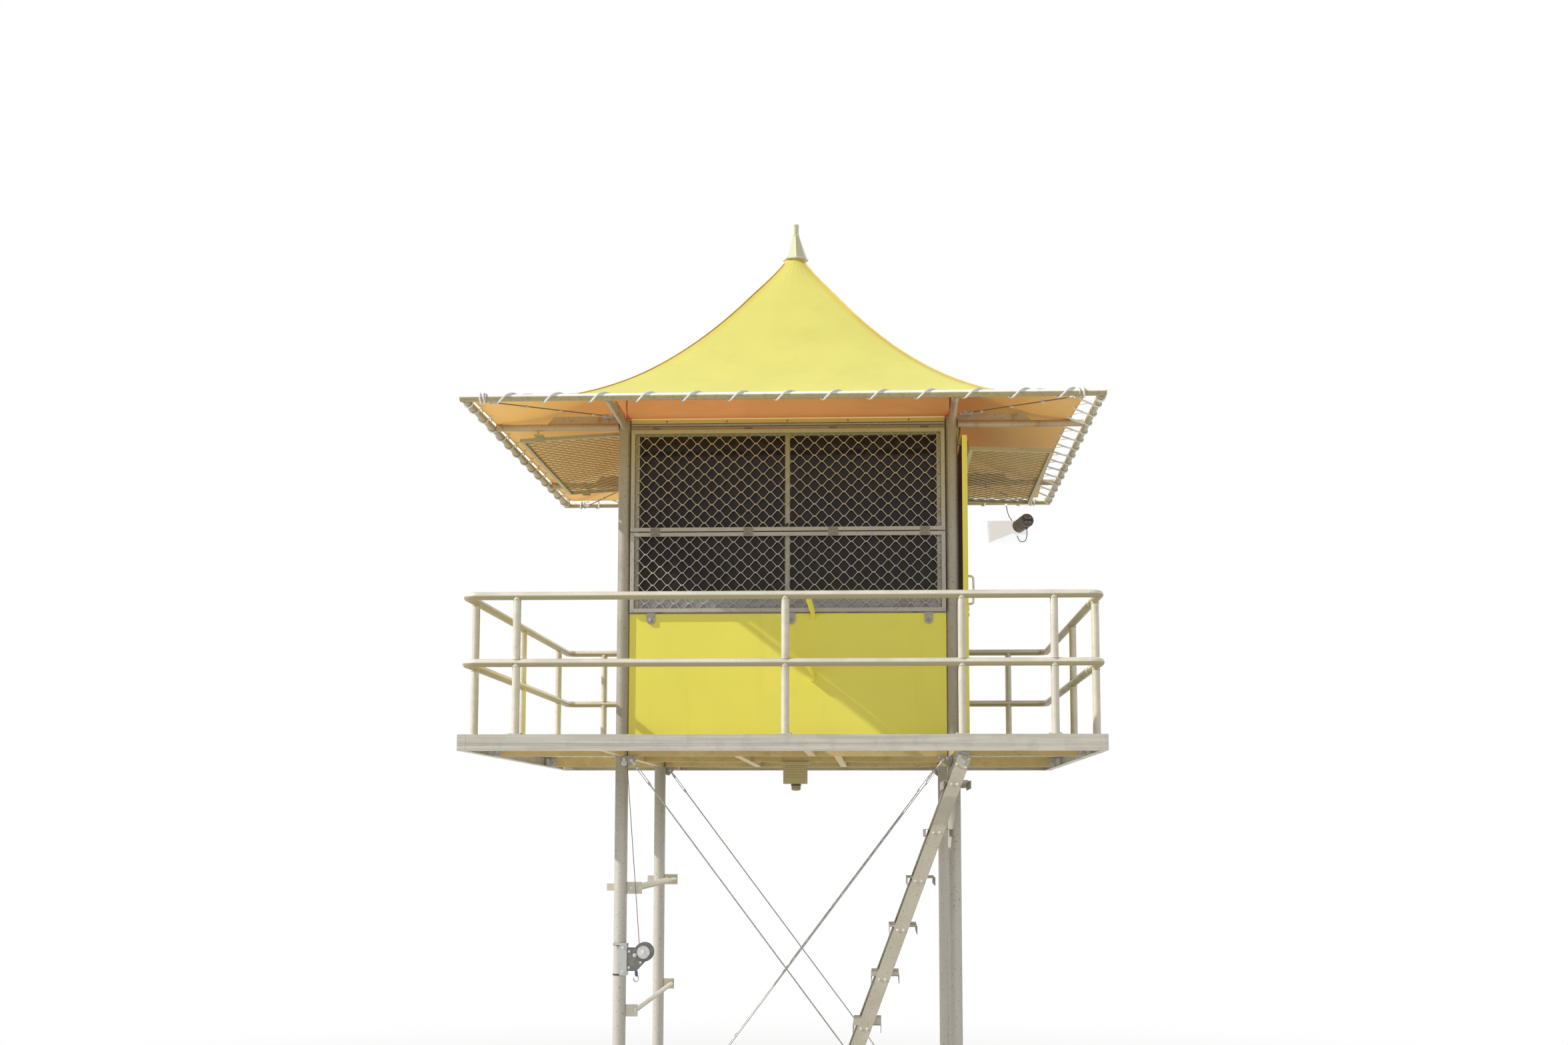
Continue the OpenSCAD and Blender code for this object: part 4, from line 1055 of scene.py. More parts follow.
class TOWER_OT_roof_fabric(bpy.types.Operator):
    """Makes the stretched fabric roof with its hem, seams, eyelets and lacing"""

    bl_idname = "tower.roof_fabric"
    bl_label = "Roof fabric"

    def execute(self, context):
        sizes = context.scene.tower_sizes
        trims = [self.hem(), self.seams(), self.eyelets(sizes), self.lacing(sizes), self.collar()]
        sheet, area = self.sheet(sizes)
        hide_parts("canopy")
        self.lining()
        return {"FINISHED"}

    def lining(self):
        """The upright fabric over the head beams, with folds that fan out of the post heads."""
        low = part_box("eaves_lining")[0].z
        half = POST - 0.012
        rows, steps = 14, 96
        shape = Shape()
        patches = Shape()
        for turn in quarter_turns():
            points = []
            for thick in (0.0, 0.0020):
                for i in range(rows + 1):
                    for k in range(steps + 1):
                        x = half * (2 * k / steps - 1)
                        top = fabric_height(abs(x), POST) - 0.006
                        up = (top - low) * i / rows
                        fold = 0.0
                        for end in (-half, half):
                            reach = abs(x - end) + 0.02
                            angle = math.atan2(up + 0.015, reach)
                            fold += math.exp(-math.hypot(reach, up) / 0.55) * math.sin(angle * 21)
                        points.append(turn @ Vector((x, -POST - 0.0010 + thick + 0.0042 * fold, low + up)))
            wide = steps + 1
            size = wide * (rows + 1)
            grid = [[i * wide + k, i * wide + k + 1, (i + 1) * wide + k + 1, (i + 1) * wide + k]
                    for i in range(rows) for k in range(steps)]
            rim = list(range(wide)) + [i * wide + steps for i in range(1, rows + 1)]
            rim += [rows * wide + k for k in range(steps - 1, -1, -1)]
            rim += [i * wide for i in range(rows - 1, 0, -1)]
            faces = grid + [[size + i for i in face[::-1]] for face in grid]
            faces += [[a, a + size, b + size, b] for a, b in zip(rim, rim[1:] + rim[:1])]
            shape.add(points, faces)
            for end in (-1, 1):
                outline = [(end * (half + 0.002), low + 0.001), (end * (half - 0.050), low + 0.001),
                           (end * (half - 0.014), low + 0.020), (end * (half + 0.002), low + 0.058)]
                patches.plate(outline, 0.0, 0.0016, turn @ Matrix.Translation((0, -POST - 0.0070, 0))
                              @ Matrix.Rotation(math.pi / 2, 4, "X"))
        made = piece("lining_fabric", shape, "lining_cloth", crease=60)
        corners = piece("lining_corners", patches, "corner_webbing")
        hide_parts("eaves_lining")

    def sheet(self, sizes):
        """The roof's own cloth, yellow above and tan below, and its area."""
        rows, steps = 60, 40
        count = 4 * steps
        shape = Shape()
        upper = []
        for i in range(rows + 1):
            t = i / rows
            for turn in quarter_turns():
                for k in range(steps):
                    s = 2 * k / steps - 1
                    p = fabric_point(t, s)
                    p.z -= 0.0012 + self.crease(t, s, sizes.wrinkle)
                    upper.append(drawn_left(turn @ p))
        lower = [p - Vector((0, 0, 0.0024)) for p in upper]
        grid = [[i * count + k, (i + 1) * count + k, (i + 1) * count + (k + 1) % count,
                 i * count + (k + 1) % count]
                for i in range(rows) for k in range(count)]
        shape.add(upper + lower, grid)
        size = len(upper)
        shape.mark = 1
        shape.faces += [[size + i for i in face[::-1]] for face in grid]
        shape.marks += [1] * len(grid)
        rims = [[k, (k + 1) % count, size + (k + 1) % count, size + k] for k in range(count)]
        base = rows * count
        rims += [[base + (k + 1) % count, base + k, size + base + k, size + base + (k + 1) % count]
                 for k in range(count)]
        shape.faces += rims
        shape.marks += [0] * len(rims)
        made = piece("roof_fabric", shape, ["fabric_top", "fabric_under"], crease=60)
        area = sum(f.area for f in made.data.polygons) / 2
        return made, area

    def crease(self, t, s, height):
        """Depth of the tension wrinkles: along the ridges high up and out of the corners low down."""
        edge = 1 - abs(s)
        near_ridge = math.exp(-((edge - 0.10) / 0.07) ** 2) * (0.35 + 0.65 * math.sin(17 * t + 3 * s) ** 2)
        fan = math.exp(-edge * 6) * (0.5 + 0.5 * math.sin(46 * edge)) * t ** 4
        top = math.exp(-t * 9) * (0.5 + 0.5 * math.cos(8 * math.pi * s))
        return height * (0.6 * near_ridge * min(1, t * 3) + 0.7 * fan + 0.5 * top)

    def hem(self):
        """The doubled edge band with the rope sewn into it."""
        shape = Shape()
        steps = 120
        for turn in quarter_turns():
            rope, outer, inner = [], [], []
            for k in range(steps + 1):
                s = 0.985 * (2 * k / steps - 1)
                edge = fabric_point(1.0, s)
                rope.append(drawn_left(turn @ (edge + Vector((0, 0.004, -0.0024)))))
                outer.append(drawn_left(turn @ edge))
                inner.append(drawn_left(turn @ fabric_point(0.968, s)))
            shape.tube(rope, 0.0052, 8)
            count = len(outer)
            for low, high in ((-0.0004, 0.0006), (-0.0046, -0.0036)):
                shape.mark = 0 if low > -0.001 else 1
                points = [p + Vector((0, 0, high)) for p in outer + inner]
                points += [p + Vector((0, 0, low)) for p in outer + inner]
                faces = []
                for k in range(count - 1):
                    a, b, c, d = k, k + 1, count + k + 1, count + k
                    faces += [[a, b, c, d], [2 * count + d, 2 * count + c, 2 * count + b, 2 * count + a],
                              [b, a, 2 * count + a, 2 * count + b], [d, c, 2 * count + c, 2 * count + d]]
                faces += [[0, count, 3 * count, 2 * count],
                          [2 * count - 1, count - 1, 3 * count - 1, 4 * count - 1]]
                shape.add(points, faces)
            shape.mark = 0
        return piece("roof_hem", shape, ["fabric_hem", "fabric_under"])

    def seams(self):
        """Welted seams down the four ridges."""
        shape = Shape()
        for turn in quarter_turns():
            ridge = [drawn_left(turn @ (fabric_point(k / 70, 1.0) + Vector((0, 0, 0.0005))))
                     for k in range(1, 70)]
            shape.tube(ridge, 0.0046, 6)
        return piece("roof_seams", shape, "fabric_hem", crease=50)

    def eyelet_places(self, sizes, side):
        """Where the eyelets are along the hem of the front, right, rear or left side."""
        first, factor = ((-1.913, 1.0), (-1.840, 0.953), (-1.900, 1.0), (-1.950, 1.0))[side]
        pitch = sizes.lacing_pitch * factor
        return [first + k * pitch for k in range(int((HEM_R - 0.12 - first) / pitch) + 1)]

    def eyelets(self, sizes):
        """The metal rings along the hem that the cord runs through."""
        shape = Shape()
        for side, turn in enumerate(quarter_turns()):
            for x in self.eyelet_places(sizes, side):
                at = drawn_left(turn @ Vector((x, hem_y(x) + 0.026, HEM_Z - 0.0010)))
                shape.ring(upright(at, UP), 0.0105, 0.0036, 16, 6, 1.3)
        return piece("hem_eyelets", shape, "bright_steel")

    def lacing(self, sizes):
        """The cord that winds round each roof tube and through the eyelets of the hem."""
        shape = Shape()
        r = sizes.lacing / 2
        out = ROOF_R + r + 0.0006
        tube_y = -ROOF_HALF
        for side, turn in enumerate(quarter_turns()):
            places = self.eyelet_places(sizes, side)
            marks = []
            for x in places:
                eye = self.drawn_hem(turn, x)
                marks += [
                    (x - 0.004, eye, HEM_Z + r + 0.002), (x, eye, HEM_Z - 0.004),
                    (x + 0.004, eye - 0.004, HEM_Z - 0.012),
                    (x + 0.010, (eye + tube_y) / 2, ROOF - 0.006),
                    (x + 0.016, tube_y + out * 0.75, ROOF - out * 0.70),
                    (x + 0.024, tube_y, ROOF - out),
                    (x + 0.044, tube_y - out * 0.72, ROOF - out * 0.72),
                    (x + 0.068, tube_y - out, ROOF),
                    (x + 0.096, tube_y - out * 0.72, ROOF + out * 0.72),
                    (x + 0.130, tube_y, ROOF + out),
                    (x + 0.160, tube_y + out * 0.72, ROOF + out * 0.74),
                    (x + 0.215, (self.drawn_hem(turn, x + 0.215) - 0.026 + tube_y) / 2 + 0.01,
                     HEM_Z + r + 0.001),
                ]
            marks = marks[:-2]
            line = smooth([turn @ Vector(m) for m in marks], 22 * len(places))
            shape.tube(line, r, 8)
            for x in (-2.004, -1.980, 1.995) if side != 3 else (-2.010, 1.985):
                ring = upright(turn @ Vector((x, tube_y, ROOF)), turn.to_3x3() @ Vector((1, 0, 0.10)))
                shape.ring(ring, out, r, 28, 8)
        return piece("roof_lacing", shape, "lacing_cord", crease=80)

    def drawn_hem(self, turn, x):
        """How far out the eyelet at x of a side is, counted along that side's own Y."""
        return (turn.inverted() @ drawn_left(turn @ Vector((x, hem_y(x) + 0.026, HEM_Z)))).y

    def collar(self):
        """The clamp ring that holds the fabric at its top."""
        shape = Shape()
        for k in range(2):
            z = ridge_z(TOP_R + 0.012 + 0.022 * k) + 0.002
            shape.ring(upright((0, 0, z), UP), TOP_R + 0.010 + 0.020 * k, 0.003, 40, 6)
        return piece("roof_collar", shape, "fabric_hem")


class TOWER_OT_roof_frame(bpy.types.Operator):
    """Finishes the roof tubes, outriggers, struts and finial, with their brackets and bolts"""

    bl_idname = "tower.roof_frame"
    bl_label = "Roof frame"

    def execute(self, context):
        for node in ("end_roof_tubes", "side_roof_tubes"):
            coat(node, "tube_coat")
        coat("outriggers", "outrigger_alloy")
        coat("peak_frame", "post_alloy")
        coat("finial", "finial_coat")
        self.brackets()
        self.hub()
        self.finial_trim()
        return {"FINISHED"}

    def brackets(self):
        """Rings and bolts where the outriggers meet posts and roof tubes, and the tubes' end caps."""
        shape = Shape()
        for sx, sy in CORNERS:
            for along_x in (True, False):
                way = Vector((sx, 0, 0)) if along_x else Vector((0, sy, 0))
                line = Vector((0, sy * POST, 0)) if along_x else Vector((sx * POST, 0, 0))
                for at in (POST + POST_R + 0.004, ROOF_HALF - ROOF_R - 0.004):
                    centre = line + way * at + Vector((0, 0, ROOF))
                    shape.ring(upright(centre, way), ROOF_R + 0.0005, 0.004, 28, 6)
                cross = Vector(REAR) if along_x else Vector(RIGHT)
                for f in (0.17, 0.85):
                    a = POST + POST_R + f * GUSSET_SHARE * (ROOF_HALF - ROOF_R - POST - POST_R)
                    hole = line + way * a + Vector((0, 0, ROOF + self.gusset_height() * 0.62))
                    for side in (-1, 1):
                        shape.hex_bolt(hole + cross * (side * 0.0042), cross * side, 0.015,
                                       0.003 if side > 0 else 0)
        for sx, sy in CORNERS:
            cap = upright((sx * (ROOF_HALF + ROOF_R - 0.001), sy * ROOF_HALF, ROOF), (sx, 0, 0))
            shape.turned([(ROOF_R * 0.985, 0.0), (ROOF_R * 0.985, 0.002), (ROOF_R * 0.80, 0.0045),
                          (0.004, 0.005)], cap, 28)
            inner = upright((sx * ROOF_HALF, sy * (ROOF_HALF - ROOF_R - 0.002), ROOF), REAR)
            shape.ring(inner, ROOF_R + 0.0005, 0.0035, 28, 6)
        piece("roof_brackets", shape, "outrigger_alloy")

    def gusset_height(self):
        """How high a gusset stands above the roof tubes' middle at its outer end."""
        a = POST + POST_R
        c = a + GUSSET_SHARE * (ROOF_HALF - ROOF_R - a)
        return ridge_z(c) - 0.012 - ROOF

    def hub(self):
        """The ring on the peak frame and the bolted plates at the feet of its struts."""
        shape = Shape()
        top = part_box("peak_frame")[1].z
        shape.turned([(0.026, 0), (0.034, 0.002), (0.034, 0.018), (0.026, 0.020)],
                     upright((0, 0, top - 0.120), UP), 28)
        low = DECK + 2.28
        for sx, sy in CORNERS:
            at = Vector((sx * (POST + 0.010), sy * (POST + 0.010), low))
            shape.plate([(-0.046, -0.046), (0.046, -0.046), (0.046, 0.046), (-0.046, 0.046)], 0.0, 0.006,
                        Matrix.Translation(at - Vector((sx * 0.010, sy * 0.010, 0.0))))
            for ox, oy in ((-0.034, 0.034), (0.034, -0.034)):
                shape.hex_bolt(at + Vector((ox - sx * 0.010, oy - sy * 0.010, 0.006)), UP, 0.014)
        piece("strut_feet", shape, "zinc")

    def finial_trim(self):
        """The finial's foot rim, its collar and its top cap."""
        shape = Shape()
        profile = [(0.1004, -0.0015), (0.1035, -0.001), (0.1035, 0.010), (0.098, 0.012)]
        base = Matrix.Translation((0, 0, FINIAL_FOOT + 0.0005)) @ Matrix.Rotation(math.radians(8), 4, "Z")
        shape.turned(profile, base, 8)
        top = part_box("finial")[1].z
        shape.turned([(0.0284, -0.010), (0.0294, -0.008), (0.0294, 0.0), (0.024, 0.003), (0.004, 0.004)],
                     Matrix.Translation((0, 0, top - 0.002)), 28)
        shape.turned([(0.030, -0.003), (0.033, 0.0), (0.030, 0.004)],
                     Matrix.Translation((0, 0, FINIAL_FOOT + 0.199)), 28)
        piece("finial_trim", shape, "white_coat", crease=25)


# Posts and deck


class TOWER_OT_posts(bpy.types.Operator):
    """Finishes the posts, with their anchor nuts and weld beads"""

    bl_idname = "tower.posts"
    bl_label = "Posts"

    def execute(self, context):
        shape = Shape()
        beads = Shape()
        base_t = 0.016
        for sx, sy in CORNERS:
            coat(corner_name(sx, sy) + "_post", "post_alloy")
            x, y = sx * POST, sy * POST
            for bx in (-1, 1):
                for by in (-1, 1):
                    shape.hex_bolt((x + bx * BASE_BOLT, y + by * BASE_BOLT, base_t), UP, 0.026, 0.018)
            beads.ring(upright((x, y, base_t + 0.001), UP), POST_R + 0.002, 0.006, 36, 6)
            beads.ring(upright((x, y, EDGE_FOOT - 0.001), UP), POST_R + 0.0005, 0.004, 36, 6)
            for z in (HEAD - 0.060, HEAD + 0.020):
                beads.ring(upright((x, y, z), UP), POST_R + 0.0002, 0.0018, 36, 6)
        piece("anchor_nuts", shape, "zinc")
        piece("post_welds", beads, "post_alloy")
        return {"FINISHED"}


class TOWER_OT_deck(bpy.types.Operator):
    """Finishes the deck, with its screws, corner strips and bearer cleats"""

    bl_idname = "tower.deck"
    bl_label = "Deck"

    def execute(self, context):
        for node, look in (("end_edge_channels", "edge_alloy"), ("side_edge_channels", "edge_alloy"),
                           ("deck_beams", "beam_alloy"), ("deck_slats", "slat_alloy"),
                           ("cabin_floor", "floor_board")):
            coat(node, look)
        self.screws(context.scene.tower_sizes.screw)
        self.corners()
        self.cleats()
        return {"FINISHED"}

    def screws(self, width):
        """Two screws where each plank of the open deck crosses a bearer or an edge channel."""
        shape = Shape()
        count = int((EDGE - 0.005 - 0.046) / SLAT_PITCH)
        for i in range(-count, count + 1):
            x = i * SLAT_PITCH
            hatch = 0.2 < x < POST - 0.025
            for y in (-EDGE + 0.030, -POST, 0.0, POST, EDGE - 0.030):
                if abs(abs(x) - POST) < 0.10 and abs(abs(y) - POST) < 0.01:
                    continue
                if hatch and y < -POST:
                    continue
                if abs(x) < POST and abs(y) < POST:
                    continue
                shift = 0.020 if hatch and abs(y + POST) < 0.01 else 0.0
                for side in (-0.026, 0.026):
                    shape.dome((x + side, y + shift, DECK), UP, width, 0.0028, 8)
        piece("deck_screws", shape, "bright_steel")

    def corners(self):
        """Thin strips over the joints at the corners of the edge channels."""
        shape = Shape()
        height = DECK - EDGE_FOOT
        for sx, sy in CORNERS:
            for k in range(2):
                face = Matrix.Translation((sx * EDGE, sy * EDGE, EDGE_FOOT))
                if k:
                    shape.block((-sx * 0.056, 0.0, 0.001), (-sx * 0.0545, sy * 0.0009, height - 0.001),
                                0.0003, face)
                else:
                    shape.block((0.0, -sy * 0.056, 0.001), (sx * 0.0009, -sy * 0.0545, height - 0.001),
                                0.0003, face)
        piece("channel_caps", shape, "edge_alloy")

    def cleats(self):
        """Angle cleats under the deck where the bearers meet the edge channels."""
        shape = Shape()
        reach = EDGE - 0.050
        low = EDGE_FOOT + 0.006
        for turn in quarter_turns():
            for x in (-POST, POST):
                for side in (-1, 1):
                    edge = x + side * 0.025
                    shape.block((edge, -reach, low), (edge + side * 0.004, -reach + 0.050, low + 0.060),
                                0.001, turn)
                    shape.block((edge, -reach - 0.002, low),
                                (edge + side * 0.045, -reach + 0.003, low + 0.060), 0.001, turn)
                    shape.hex_bolt(turn @ Vector((edge + side * 0.004, -reach + 0.028, low + 0.030)),
                                   turn.to_3x3() @ Vector((side, 0, 0)), 0.014)
        piece("bearer_cleats", shape, "zinc")


class TOWER_OT_guard_rails(bpy.types.Operator):
    """Finishes the guard rails, with weld beads at the joints and feet on the channel"""

    bl_idname = "tower.guard_rails"
    bl_label = "Guard rails"

    def execute(self, context):
        for side in ("front", "rear", "left", "right"):
            coat(side + "_guard_rail", "rail_alloy")
        coat("hatch_guard_rail", "trim_paint")
        runs = (
            (Matrix.Identity(4), (-0.822, 0.015, 0.559, 0.842)),
            (Matrix.Rotation(math.pi, 4, "Z"), (-0.83, -0.279, 0.279, 0.835)),
            (Matrix.Rotation(-math.pi / 2, 4, "Z"), (-0.746, 0.013, 0.825)),
            (Matrix.Rotation(math.pi / 2, 4, "Z"), (-0.825, -0.115, 0.614)),
        )
        shape = Shape()
        feet = Shape()
        foot = [(-0.043, -0.030), (0.043, -0.030), (0.043, 0.040), (-0.043, 0.040)]
        for turn, shares in runs:
            for share in shares:
                x = share * EDGE
                for z in (RAIL_TOP - RAIL_R + 0.002, RAIL_MID - RAIL_R + 0.002, RAIL_MID + RAIL_R - 0.002):
                    shape.ring(upright(turn @ Vector((x, -RAIL_LINE, z)), UP), RAIL_R - 0.0005,
                               0.0032, 28, 6)
                shape.ring(upright(turn @ Vector((x, -RAIL_LINE, DECK + 0.002)), UP), RAIL_R + 0.0005,
                           0.0042, 28, 6)
                feet.plate(foot, 0.0003, 0.005, turn @ Matrix.Translation((x, -RAIL_LINE, DECK)))
                for side in (-0.035, 0.035):
                    feet.hex_bolt(turn @ Vector((x + side, -RAIL_LINE + 0.028, DECK + 0.005)), UP, 0.013)
        for turn in quarter_turns():
            for z in (RAIL_TOP, RAIL_MID):
                bend = RAIL_LINE - 0.075
                shape.ring(upright(turn @ Vector((RAIL_LINE, bend, z)), turn.to_3x3() @ Vector(REAR)),
                           RAIL_R, 0.0012, 28, 6)
        piece("rail_welds", shape, "rail_alloy")
        piece("rail_feet", feet, "rail_alloy")
        return {"FINISHED"}


# Cabin


class TOWER_OT_walls(bpy.types.Operator):
    """Finishes the lower wall panels and head beams, with their trims, seals, beads and bolts"""

    bl_idname = "tower.walls"
    bl_label = "Walls"

    def execute(self, context):
        for side in ("front", "left", "rear", "right"):
            coat(side + "_wall", "panel_paint")
        coat("head_beams", "beam_paint")
        shape = Shape()
        seal = Shape()
        for k, turn in enumerate(quarter_turns()):
            left = -POST_IN + 0.004 if k != 1 else -POST_IN + DOORWAY_W + 0.050
            right = POST_IN - 0.004
            face = -POST - WALL_HALF
            low, high = DECK + 0.020, SILL
            for x1, bottom, x2, top in (
                    (left, high - 0.016, right, high - 0.001),
                    (left, low + 0.001, right, low + 0.028),
                    (left, low + 0.028, left + 0.018, high - 0.016),
                    (right - 0.018, low + 0.028, right, high - 0.016)):
                shape.block((x1, face - 0.0022, bottom), (x2, face + 0.001, top), 0.0006, turn)
            seal.block((left, face - 0.004, DECK + 0.004), (right, face + 0.010, low + 0.002), 0.001, turn)
        piece("panel_trims", shape, "panel_paint")
        piece("floor_seals", seal, "black_rubber")
        line, bolts, bead, gap_shade = Shape(), Shape(), Shape(), Shape()
        end = POST_IN - 0.002
        for k, turn in enumerate(quarter_turns()):
            # A pale strip along each head beam's top edge: a painted highlight of its lit edge
            line.block((-end, -POST - 0.0318, HEAD + 0.0275), (end, -POST - 0.010, HEAD + 0.0362),
                       0.0010, turn)
            for x in (-0.86, -0.43, 0.0, 0.43, 0.86):
                bolts.dome(turn @ Vector((x, -POST - 0.030, HEAD + 0.013)), turn.to_3x3() @ Vector(FRONT),
                           0.013, 0.004, 10)
            if k == 1:
                continue
            bead.tube([turn @ Vector((x, -POST - 0.0285, HEAD - 0.0112)) for x in (-end, end)], 0.0082, 12)
            # Two dark strips on the track's face: painted shade of the gaps above and below the bead
            gap_shade.block((-end, -POST - 0.0303, HEAD - 0.0245), (end, -POST - 0.029, HEAD - 0.0200),
                         0.0002, turn)
            gap_shade.block((-end, -POST - 0.0303, HEAD - 0.0030), (end, -POST - 0.029, HEAD - 0.0005),
                         0.0002, turn)
        piece("beam_top_highlights", line, "line_paint")
        piece("beam_bolts", bolts, "leaf_steel")
        piece("head_beads", bead, "bead_alloy")
        piece("head_gap_shades", gap_shade, "black_rubber")
        return {"FINISHED"}


class TOWER_OT_door(bpy.types.Operator):
    """Finishes the sliding door and its track, with handle, lock and brackets"""

    bl_idname = "tower.door"
    bl_label = "Sliding door"

    def execute(self, context):
        coat("door", "door_paint")
        coat("door_track", "track_alloy")
        y1 = -POST - POST_R
        x = DOOR_X + DOOR_T
        trims = Shape()
        low, high = DECK + 0.030, DOOR_TOP
        y2 = y1 + DOOR_W
        for near, bottom, far, top in (
                (y1 + 0.002, low + 0.002, y2 - 0.002, low + 0.040),
                (y1 + 0.002, high - 0.040, y2 - 0.002, high - 0.002),
                (y1 + 0.002, low + 0.040, y1 + 0.040, high - 0.040),
                (y2 - 0.040, low + 0.040, y2 - 0.002, high - 0.040),
                (y1 + 0.040, DECK + 1.060, y2 - 0.040, DECK + 1.100)):
            trims.block((x - 0.001, near, bottom), (x + 0.002, far, top), 0.0008)
        piece("door_trims", trims, "door_paint", "door")
        metal = Shape()
        grip = [Vector((x + out, y1 + 0.075, DECK + height)) for out, height in (
            (0.001, 0.960), (0.030, 0.965), (0.040, 0.985), (0.040, 1.135), (0.030, 1.155), (0.001, 1.160))]
        metal.tube(smooth(grip, 26), 0.008, 12)
        for z in (DECK + 0.960, DECK + 1.160):
            metal.turned([(0.017, 0.0), (0.017, 0.003), (0.013, 0.005)],
                         upright((x + 0.0015, y1 + 0.075, z), RIGHT), 18)
        metal.block((x + 0.0015, y1 + 0.052, DECK + 0.830), (x + 0.004, y1 + 0.098, DECK + 0.925), 0.001)
        metal.turned([(0.013, 0.0), (0.013, 0.006), (0.010, 0.008)],
                     upright((x + 0.003, y1 + 0.075, DECK + 0.885), RIGHT), 20)
        for z in (DECK + 0.840, DECK + 0.915):
            metal.dome((x + 0.004, y1 + 0.075, z), RIGHT, 0.007, 0.002, 8)
        piece("door_handle", metal, "bright_steel", "door")
        hooks = Shape()
        for k in range(6):
            y = -1.0 + 0.4 * k
            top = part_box("door_track")[1].z
            hooks.block((POST + 0.031, y - 0.020, top - 0.012),
                        (POST + 0.0545, y + 0.020, top + 0.004), 0.001)
            hooks.hex_bolt((POST + 0.043, y, top + 0.0035), UP, 0.011)
        piece("track_brackets", hooks, "zinc")
        return {"FINISHED"}


class TOWER_OT_windows(bpy.types.Operator):
    """Finishes the window frames and the glass, with gaskets, catches, aprons and track beads"""

    bl_idname = "tower.windows"
    bl_label = "Windows"

    def execute(self, context):
        for side in ("front", "left", "rear", "right"):
            coat(side + "_window_frame", "frame_alloy")
        coat("window_glass", "glass")
        frame_w, sash = 0.045, 0.016
        low, high = SILL + frame_w, FRAME_TOP - frame_w
        stile = 0.060
        end = POST_IN - stile
        rubber = Shape()
        apron = Shape()
        catches = Shape()
        for k, turn in enumerate(quarter_turns()):
            panes = [(-end, -sash), (sash, end)] if k != 1 else [(-POST_IN + DOORWAY_W + stile, end)]
            for left, right in panes:
                for depth in (-0.0075, 0.0075):
                    a, b = sorted((depth * 0.4, depth))
                    for lo, hi in (((left, -POST + a, low), (right, -POST + b, low + 0.008)),
                                   ((left, -POST + a, high - 0.008), (right, -POST + b, high)),
                                   ((left, -POST + a, low), (left + 0.008, -POST + b, high)),
                                   ((right - 0.008, -POST + a, low), (right, -POST + b, high))):
                        rubber.block(lo, hi, 0.0008, turn)
            if k != 1:
                catches.block((-0.014, -POST - 0.016, SILL + 0.560), (0.014, -POST - 0.0118, SILL + 0.640),
                              0.002, turn)
                catches.block((-0.005, -POST - 0.0205, SILL + 0.585), (0.005, -POST - 0.0155, SILL + 0.645),
                              0.002, turn)
            for x in (-0.90, 0.0, 0.90):
                if k == 1 and x < 0:
                    continue
                catches.block((x - 0.020, -POST - 0.0140, SILL + 0.006),
                              (x + 0.020, -POST - 0.0118, SILL + 0.010), 0.0005, turn)
            for top, front in ((0.128, 0.0108), (0.076, 0.0132)):
                left = -end if k != 1 else -POST_IN + DOORWAY_W + stile
                apron.block((left + 0.001, -POST - front, SILL + 0.030),
                            (end - 0.001, -POST - 0.0080, SILL + top), 0.001, turn)
        piece("sill_aprons", apron, "sill_alloy")
        piece("glass_gaskets", rubber, "black_rubber")
        piece("window_catches", catches, "black_rubber")
        lines = Shape()
        for turn in quarter_turns():
            lines.block((-POST_IN + 0.002, -POST - 0.0262, FRAME_TOP + 0.0185),
                        (POST_IN - 0.002, -POST - 0.0235, FRAME_TOP + 0.0215), 0.0005, turn)
        piece("track_beads", lines, "rail_alloy")
        return {"FINISHED"}


def raised(turn, hinge, z, height, droop):
    """The place, width and height of a screen that is hinged up under the roof."""
    place = (
        Matrix.Rotation(math.radians(turn), 4, "Z") @ Matrix.Translation((0, -hinge, z))
        @ Matrix.Rotation(-math.pi / 2 + droop, 4, "X") @ Matrix.Translation((0, 0, -height)))
    return place, SCREEN_W - 0.040, height


SCREENS = {
    "front_upper": (Matrix.Translation((0, -POST - WALL_HALF, UPPER_Z)), SCREEN_W, UPPER_H),
    "front_lower": (Matrix.Translation((0, -POST - WALL_HALF, LOWER_Z)), SCREEN_W, LOWER_H),
    "left": raised(-90, POST + POST_R, FRAME_TOP - 0.019, UPPER_H, DROOP),
    "rear": raised(180, POST + POST_R, FRAME_TOP - 0.019, UPPER_H, DROOP),
    "right": raised(90, DOOR_X + DOOR_T + 0.022, DOOR_TOP - 0.085, RIGHT_H, 0.7 * DROOP),
}
HINGE_SHARES = (-0.84, -0.247, 0.292, 0.872)


